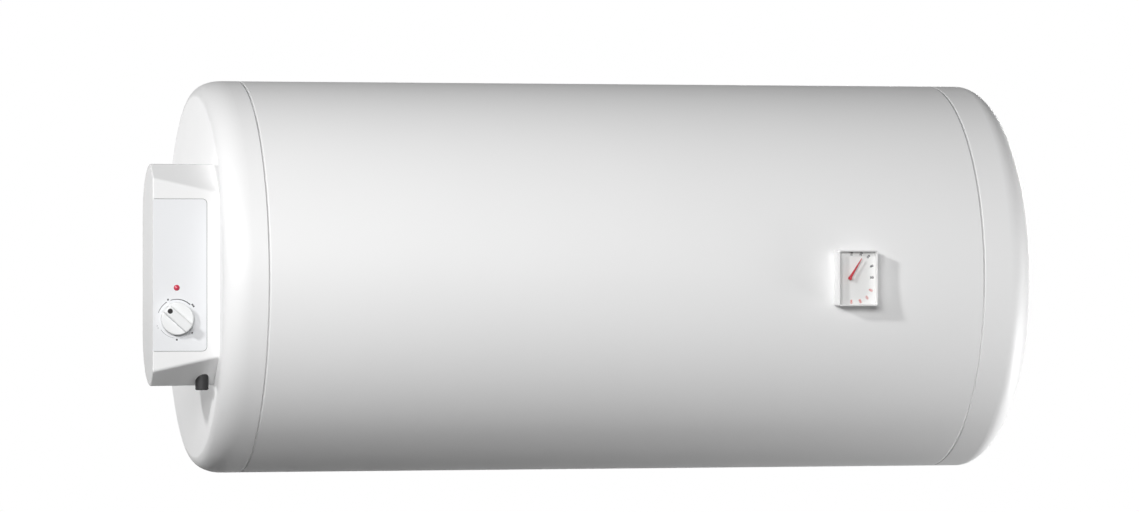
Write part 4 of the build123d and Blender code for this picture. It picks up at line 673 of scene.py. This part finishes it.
@dataclass
class ControlBox(Assembly):
    """The cover at the control end, its panel with the printed scale, and what is inside.

    Attributes:
        knob_x: X of the knob's axis.
        knob_z: Z of the knob's axis.
        panel_front: Y of the panel's face.
        ink: Thickness of the print.
        scale_radius: Radius of the scale's arc.
        dot_radius: Radius on which the scale's dots lie.
        dot_size: Side of a dot.
        dots: Angle of each dark dot, in degrees, counter-clockwise from +X.
        faint_dots: Angle of each dot of the frost mark.
        arcs: Start and end angle and start and end width of each stretch of the scale.
        arc_step: Degrees between the points of an arc.
        bold_width: An arc that ends wider than this is printed dark, the others grey.
        panel_left: X of the panel's left edge.
        panel_right: X of the middle of the gap at its right edge.
        panel_middle: Z of the panel's middle.
        panel_half: Half the height from gap to gap.
        panel_corner: Radius of the corners of the dark cord of painted shade.
        gap_shade_cord: Radius of the dark cord laid in the gap round the panel as painted shade.
        gap_shade_below: How far its middle lies behind the panel's face.
    """

    knob_x: float = -516.5
    knob_z: float = -46.0
    panel_front: float = -413.7
    ink: float = 0.05
    scale_radius: float = 21.8
    dot_radius: float = 23.6
    dot_size: float = 1.9
    dots: tuple[float, ...] = (115.0, 41.6, 36.0, -42.5, -90.0)
    faint_dots: tuple[float, ...] = (200.0, 206.0)
    arcs: tuple[tuple[float, float, float, float], ...] = (
        (109.0, 46.0, 0.75, 1.15),
        (162.0, 121.0, 0.55, 0.75),
        (267.0, 214.0, 0.30, 0.45),
        (307.0, 281.0, 0.12, 0.22),
    )
    arc_step: float = 3.0
    bold_width: float = 0.5
    panel_left: float = -542.2
    panel_right: float = -482.27
    panel_middle: float = 3.0
    panel_half: float = 85.575
    panel_corner: float = 5.2
    gap_shade_cord: float = 0.2
    gap_shade_below: float = 0.22

    def build(self) -> None:
        """Dresses the box, prints its panel and lays a dark cord in the gap round the panel as painted
        shade.
        """
        self.dress(COVER, "control_cover")
        self.dress(PANEL, "control_panel")
        self.dress(RED_LENS, "lamp_lens")
        self.dress(RUBBER_AND_GAP_SHADE, "cable_gland")
        self.dress(ZINC, "cover_screws", "service_screws", "component_plate")
        self.dress(NYLON, "chassis_plate")
        self.dress(PHENOLIC, "thermostat_body", "thermal_cutout", "lamp_body")
        self.dress(RED_RING, "reset_button")
        self.dress(CREAM, "terminal_block")
        self.dress(BRASS, "terminal_screws")
        self.print_dots("scale_dots", self.dots, self.dot_size, DARK_INK)
        self.print_dots("frost_dots", self.faint_dots, self.dot_size / 2, PALE_INK)
        for number, arc in enumerate(self.arcs):
            self.print_arc("scale_arc_%d" % (number + 1), *arc)
        self.lay_gap_shade()

    def lay_gap_shade(self) -> None:
        """Lays a dark cord in the gap round the panel's top, right and bottom edges: painted shade where
        the gap holds only shadow.
        """
        left, right, half = self.panel_left, self.panel_right, self.panel_half
        route = [(left, half), (right, half), (right, -half), (left, -half)]
        points = [Vector((x, z, 0)) * MM for x, z in route]
        sizes = {"Corner": self.panel_corner * MM, "Cord": self.gap_shade_cord * MM}
        place = front_matrix(0, self.panel_front + self.gap_shade_below, self.panel_middle)
        # The dark cord is painted shade: the gap round the panel holds only shadow.
        self.grow("panel_gap_shade", points, gap_shade_growth(), sizes, RUBBER_AND_GAP_SHADE, place=place, path=True)

    def print_dots(self, name: str, angles: tuple[float, ...], size: float, ink: Finish) -> None:
        """Prints square dots round the knob.

        Args:
            name: The piece's name.
            angles: Where each dot lies, in degrees.
            size: Side of a dot.
            ink: Its finish.
        """
        turns = [math.radians(angle) for angle in angles]
        points = [Vector((math.cos(a), math.sin(a), 0)) * self.dot_radius * MM for a in turns]
        sizes = {"Width": size * MM, "Length": size * MM, "Thickness": 2 * self.ink * MM}
        place = front_matrix(self.knob_x, self.panel_front, self.knob_z)
        self.grow(name, points, marks_growth(), sizes, ink, turns=turns, place=place)

    def print_arc(self, name: str, start: float, end: float, first_width: float,
                  last_width: float) -> None:
        """Prints one stretch of the scale, which thickens as it goes clockwise.

        Args:
            name: The piece's name.
            start: Angle where it starts, in degrees.
            end: Angle where it ends, clockwise of the start.
            first_width: Width at the start.
            last_width: Width at the end.
        """
        steps = max(2, round((start - end) / self.arc_step))
        rows = []
        for step in range(steps + 1):
            share = step / steps
            angle = math.radians(start + share * (end - start))
            half = (first_width + share * (last_width - first_width)) / 2
            for radius in (self.scale_radius - half, self.scale_radius + half):
                for lift in (-self.ink, self.ink):
                    rows.append(Vector((radius * math.cos(angle), radius * math.sin(angle), lift)) * MM)
        faces = []
        for step in range(steps):
            a, b = 4 * step, 4 * step + 4
            faces += [(a + 1, a + 3, b + 3, b + 1), (a + 2, a, b, b + 2),
                      (a, a + 1, b + 1, b), (a + 3, a + 2, b + 2, b + 3)]
        last = 4 * steps
        faces += [(0, 2, 3, 1), (last, last + 1, last + 3, last + 2)]
        place = front_matrix(self.knob_x, self.panel_front, self.knob_z)
        ink = DARK_INK if last_width > self.bold_width else PALE_INK
        self.add_mesh(name, [place @ row for row in rows], faces, ink)


@dataclass
class Knob(Assembly):
    """The thermostat's knob with its shaft and pointer dot."""

    def build(self) -> None:
        """Dresses the knob."""
        self.dress(KNOB, "thermostat_knob")
        self.dress(BLACK_DOT, "knob_dot")
        self.dress(ZINC, "thermostat_shaft")


@dataclass
class Thermometer(Assembly):
    """The dial thermometer on the jacket, with its printed numbers.

    Attributes:
        pivot_x: X of the needle's axis.
        pivot_z: Z of the needle's axis.
        dial_front: Y of the dial's face.
        ink: Thickness of the print.
        digit_height: Height of a number.
        digit_stretch: How much wider than the plain font its digits are.
        stroke: How much bolder than the plain font its strokes are.
        curve_steps: Steps in each curve of a digit.
        step_degrees: Temperature from one number to the next, and the first number.
        first_red: Place of the first number in red.
        marks: X and Z of each number from the needle's axis.
    """

    pivot_x: float = 251.9
    pivot_z: float = -1.0
    dial_front: float = -471.8
    ink: float = 0.04
    digit_height: float = 3.5
    digit_stretch: float = 1.3
    stroke: float = 0.16
    curve_steps: int = 3
    step_degrees: int = 10
    first_red: int = 5
    marks: tuple[tuple[float, float], ...] = (
        (3.3, 27.6), (14.6, 27.6), (23.2, 24.4), (27.0, 13.4), (27.3, 0.4),
        (25.9, -14.0), (21.2, -22.6), (13.2, -26.6), (2.6, -27.2),
    )

    def build(self) -> None:
        """Dresses the thermometer and prints its dial."""
        self.dress(GAUGE, "gauge_housing")
        self.dress(WINDOW, "gauge_window")
        self.dress(DIAL, "gauge_dial")
        self.dress(NEEDLE, "gauge_needle")
        self.dress(BRASS, "gauge_spindle", "gauge_stem")
        for number, mark in enumerate(self.marks):
            self.print_number(number, mark)

    def print_number(self, number: int, mark: tuple[float, float]) -> None:
        """Prints one temperature, reading outwards from the needle's axis.

        Args:
            number: Its place on the scale.
            mark: X and Z of its middle from the needle's axis.
        """
        name = "dial_number_%d" % number
        ink = RED_INK if number >= self.first_red else DIAL_INK
        text = bpy.data.curves.new(name, "FONT")
        text.body = str((number + 1) * self.step_degrees)
        text.size = self.digit_height * MM
        text.align_x = text.align_y = "CENTER"
        text.extrude = self.ink * MM
        text.offset = self.stroke * MM
        text.resolution_u = self.curve_steps
        carrier = bpy.data.objects.new(name + "_text", text)
        bpy.context.scene.collection.objects.link(carrier)
        bpy.context.view_layer.update()
        graph = bpy.context.evaluated_depsgraph_get()
        mesh = bpy.data.meshes.new_from_object(carrier.evaluated_get(graph))
        bpy.data.objects.remove(carrier)
        mesh.name = name
        turn = Matrix.Rotation(math.atan2(mark[1], mark[0]), 4, "Z")
        stretch = Matrix.Diagonal((self.digit_stretch, 1, 1, 1))
        place = front_matrix(self.pivot_x + mark[0], self.dial_front, self.pivot_z + mark[1])
        mesh.transform(place @ (turn @ stretch))
        mesh.materials.clear()
        mesh.materials.append(ink.material())
        self.join_body(bpy.data.objects.new(name, mesh), ink)


@dataclass
class WaterPipes(Assembly):
    """The two water pipes with their threaded ends and coloured rings.

    Attributes:
        end_x: X of the pipes' ends.
        pipe_y: Y of both pipes.
        pipe_z: Distance of each pipe above or below the middle.
        thread_radius: Radius at the thread's crests.
        thread_length: Length of the thread.
        pitch: Distance from one turn to the next.
        ridge: Half the height of the ridge.
    """

    end_x: float = -506.5
    pipe_y: float = -182.0
    pipe_z: float = 50.0
    thread_radius: float = 10.48
    thread_length: float = 18.0
    pitch: float = 1.814
    ridge: float = 0.55

    def build(self) -> None:
        """Dresses the pipes and winds their threads."""
        self.dress(PIPE, "inlet_pipe", "outlet_pipe")
        self.dress(BLUE_RING, "inlet_ring")
        self.dress(RED_RING, "outlet_ring")
        self.dress(NYLON, "inlet_diffuser")
        self.wind_thread("inlet_thread", -self.pipe_z)
        self.wind_thread("outlet_thread", self.pipe_z)

    def wind_thread(self, name: str, z: float) -> None:
        """Winds the ridge of one pipe's thread.

        Args:
            name: The piece's name.
            z: Z of the pipe.
        """
        length = self.thread_length - 2 * self.pitch
        sizes = {"Turns": length / self.pitch, "Radius": (self.thread_radius - self.ridge / 2) * MM,
                 "Length": length * MM, "Ridge": self.ridge * MM}
        place = along_matrix(self.end_x + self.pitch, self.pipe_y, z)
        self.grow(name, [Vector((0, 0, 0))], thread_growth(), sizes, PIPE, place=place)


@dataclass
class Inside(Assembly):
    """The tank, its heater flange, the foam and the wiring: all behind the casing."""

    def build(self) -> None:
        """Dresses what is inside."""
        self.dress(ENAMEL, "tank_shell", "tank_end_control", "tank_end_dome", "flange_neck")
        self.dress(FOAM, "foam_insulation")
        self.dress(ZINC, "heater_flange", "flange_studs", "flange_nuts", "anode_nut", "element_terminals")
        self.dress(RUBBER_AND_GAP_SHADE, "flange_gasket")
        self.dress(COPPER, "heating_elements", "sensor_pocket", "thermostat_capillary")
        self.dress(MAGNESIUM, "magnesium_anode")
        self.dress(BROWN_PVC, "wire_live")
        self.dress(BLUE_PVC, "wire_neutral")
        self.dress(GREEN_PVC, "wire_earth")
        self.dress(BLACK_PVC, "wire_links")


@dataclass
class WallFixing(Assembly):
    """The two wall brackets with their screws and posts."""

    def build(self) -> None:
        """Dresses the fixing."""
        self.dress(ZINC, "wall_bracket_control", "wall_bracket_dome", "bracket_screws", "hanger_posts")


@dataclass(frozen=True)
class Lamp:
    """A rectangular soft light that looks at the drum.

    Attributes:
        name: Its name.
        bearing: Degrees from straight ahead of the drum, positive to the right.
        height: Degrees above the drum.
        distance: Metres from the aim.
        width: Its width in metres.
        tall: Its height in metres.
        watts: Its power.
    """

    name: str
    bearing: float
    height: float
    distance: float
    width: float
    tall: float
    watts: float


@dataclass
class Studio:
    """Floor, background, lamps and camera.

    Attributes:
        floor_z: Height of the floor, in metres.
        floor_radius: Radius of the floor.
        floor_sides: Sides of its outline.
        fade: Shares of the radius between which the floor fades into the background.
        floor_tones: The two colours of the floor's grain, sRGB hex.
        floor_grain: Scale of that grain, per metre.
        floor_bounce: The floor's colour for the light that it sends back up, sRGB hex.
        ambient: Level of the light from all round.
        mirrored: Level of the background in reflections.
        lens: The camera's focal length.
        sensor: Width of the camera's sensor, in millimetres.
        reach: How far the camera sees, in metres.
        camera_place: Where the camera stands, in metres.
        camera_turn: How far it looks to the right, in radians.
        camera_dip: How far it looks down, in radians.
        aim: What the lamps look at: the middle of the drum.
        lamps: The soft lights.
    """

    floor_z: float = -0.90
    floor_radius: float = 3.6
    floor_sides: int = 96
    fade: tuple[float, float] = (0.35, 0.96)
    floor_tones: tuple[str, str] = ("f0f0f0", "ebebeb")
    floor_grain: float = 60.0
    floor_bounce: str = "505050"
    ambient: float = 0.02
    mirrored: float = 0.4
    lens: float = 161.6
    sensor: float = 36.0
    reach: float = 60.0
    camera_place: tuple[float, float, float] = (-1.4033, -6.1025, 0.0307)
    camera_turn: float = 0.2313
    camera_dip: float = 0.0011
    aim: tuple[float, float, float] = (0.0, -0.234, 0.0)
    lamps: tuple[Lamp, ...] = (
        Lamp("key", -54.0, 21.0, 4.6, 0.35, 0.35, 92.0),
        Lamp("front_fill", -20.0, 14.0, 4.6, 2.4, 1.1, 124.0),
        Lamp("left_behind", -140.0, 2.0, 3.2, 1.4, 0.5, 20.0),
        Lamp("behind", 150.0, 4.0, 3.6, 1.6, 0.8, 44.0),
        Lamp("right_side", 85.0, 0.0, 3.2, 1.4, 1.2, 15.0),
        Lamp("right_low", 85.0, -20.0, 1.7, 1.2, 0.4, 15.0),
    )

    def build(self) -> None:
        """Builds the studio."""
        self.place_camera()
        self.lay_floor()
        self.light_world()
        for lamp in self.lamps:
            self.hang_lamp(lamp)
        bpy.context.scene.view_settings.view_transform = "Standard"

    def place_camera(self) -> None:
        """Stands the camera at the photograph's viewpoint."""
        data = bpy.data.cameras.new("camera")
        data.lens = self.lens
        data.sensor_width = self.sensor
        data.clip_end = self.reach
        camera = bpy.data.objects.new("camera", data)
        camera.location = self.camera_place
        camera.rotation_euler = (math.pi / 2 - self.camera_dip, 0.0, -self.camera_turn)
        bpy.context.scene.collection.objects.link(camera)
        bpy.context.scene.camera = camera

    def hang_lamp(self, lamp: Lamp) -> None:
        """Hangs one soft light.

        Args:
            lamp: The light.
        """
        data = bpy.data.lights.new(lamp.name, "AREA")
        data.shape = "RECTANGLE"
        data.size = lamp.width
        data.size_y = lamp.tall
        data.energy = lamp.watts
        light = bpy.data.objects.new(lamp.name, data)
        bearing, height = math.radians(lamp.bearing), math.radians(lamp.height)
        level = math.cos(height)
        way = Vector((math.sin(bearing) * level, -math.cos(bearing) * level, math.sin(height)))
        light.location = Vector(self.aim) + way * lamp.distance
        light.rotation_euler = way.to_track_quat("Z", "Y").to_euler()
        light.visible_camera = False
        bpy.context.scene.collection.objects.link(light)

    def seen_directly(self, tree: bpy.types.NodeTree) -> bpy.types.NodeSocket:
        """Tells rays from the camera, a reflection or glass from those that only light the object.

        Args:
            tree: The node tree that asks.

        Returns:
            A socket that is 1 for a ray that shows the background.
        """
        rays = add_node(tree, "ShaderNodeLightPath").outputs
        seen = rays["Is Camera Ray"]
        for kind in ("Is Glossy Ray", "Is Transmission Ray"):
            either = add_node(tree, "ShaderNodeMath", {0: seen, 1: rays[kind]}, operation="MAXIMUM")
            seen = either.outputs[0]
        return seen

    def light_world(self) -> None:
        """Gives the world a white background, a dimmer one in reflections, and a low even light."""
        world = bpy.data.worlds.new("white_studio")
        world.use_nodes = True
        tree = world.node_tree
        tree.nodes.clear()
        level = add_node(tree, "ShaderNodeMapRange",
                         {"Value": self.seen_directly(tree), "To Min": self.ambient, "To Max": 1.0})
        mirrored = add_node(tree, "ShaderNodeLightPath").outputs["Is Glossy Ray"]
        strength = add_node(tree, "ShaderNodeMix",
                            {0: mirrored, NUMBER_A: level.outputs[0], NUMBER_B: self.mirrored},
                            data_type="FLOAT")
        sky = add_node(tree, "ShaderNodeBackground",
                       {"Color": (1, 1, 1, 1), "Strength": strength.outputs[0]})
        add_node(tree, "ShaderNodeOutputWorld", {"Surface": sky.outputs[0]})
        bpy.context.scene.world = world

    def lay_floor(self) -> None:
        """Lays a pale floor that fades into the background at its edge."""
        made = bpy.data.materials.new("matt_white_floor")
        made.use_nodes = True
        tree = made.node_tree
        tree.nodes.clear()
        place = add_node(tree, "ShaderNodeTexCoord").outputs["Object"]
        far = add_node(tree, "ShaderNodeVectorMath", {0: place}, operation="LENGTH")
        first, last = self.fade
        edge = add_node(tree, "ShaderNodeMapRange",
                        {"Value": far.outputs["Value"], "From Min": self.floor_radius * first,
                         "From Max": self.floor_radius * last})
        edge.interpolation_type = "SMOOTHSTEP"
        seen = self.seen_directly(tree)
        shown = add_node(tree, "ShaderNodeMath", {0: edge.outputs[0], 1: seen}, operation="MULTIPLY")
        grain = add_node(tree, "ShaderNodeTexNoise", {"Vector": place, "Scale": self.floor_grain})
        light, dark = (linear(tone) for tone in self.floor_tones)
        pale = add_node(tree, "ShaderNodeMix", {0: grain.outputs[0], COLOUR_A: light, COLOUR_B: dark},
                        data_type="RGBA")
        tone = add_node(tree, "ShaderNodeMix",
                        {0: seen, COLOUR_A: linear(self.floor_bounce),
                         COLOUR_B: pale.outputs[COLOUR_OUT]}, data_type="RGBA")
        matt = add_node(tree, "ShaderNodeBsdfDiffuse", {"Color": tone.outputs[COLOUR_OUT]})
        white = add_node(tree, "ShaderNodeEmission", {"Color": (1, 1, 1, 1), "Strength": 1.0})
        mixed = add_node(tree, "ShaderNodeMixShader",
                         {0: shown.outputs[0], 1: matt.outputs[0], 2: white.outputs[0]})
        add_node(tree, "ShaderNodeOutputMaterial", {"Surface": mixed.outputs[0]})
        mesh = bpy.data.meshes.new("floor")
        turns = [2 * math.pi * side / self.floor_sides for side in range(self.floor_sides)]
        rim = [(self.floor_radius * math.cos(turn), self.floor_radius * math.sin(turn), self.floor_z)
               for turn in turns]
        mesh.from_pydata(rim, [], [tuple(range(self.floor_sides))])
        mesh.materials.append(made)
        floor = bpy.data.objects.new("floor", mesh)
        bpy.context.scene.collection.objects.link(floor)


def main() -> None:
    """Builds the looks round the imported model."""
    logging.basicConfig(level=logging.INFO, format="%(name)s: %(message)s")
    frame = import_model()
    Studio().build()
    for kind in (Casing, ControlBox, Knob, Thermometer, WaterPipes, Inside, WallFixing):
        kind(frame["nodes"]).build()


if __name__ == "__main__":
    main()
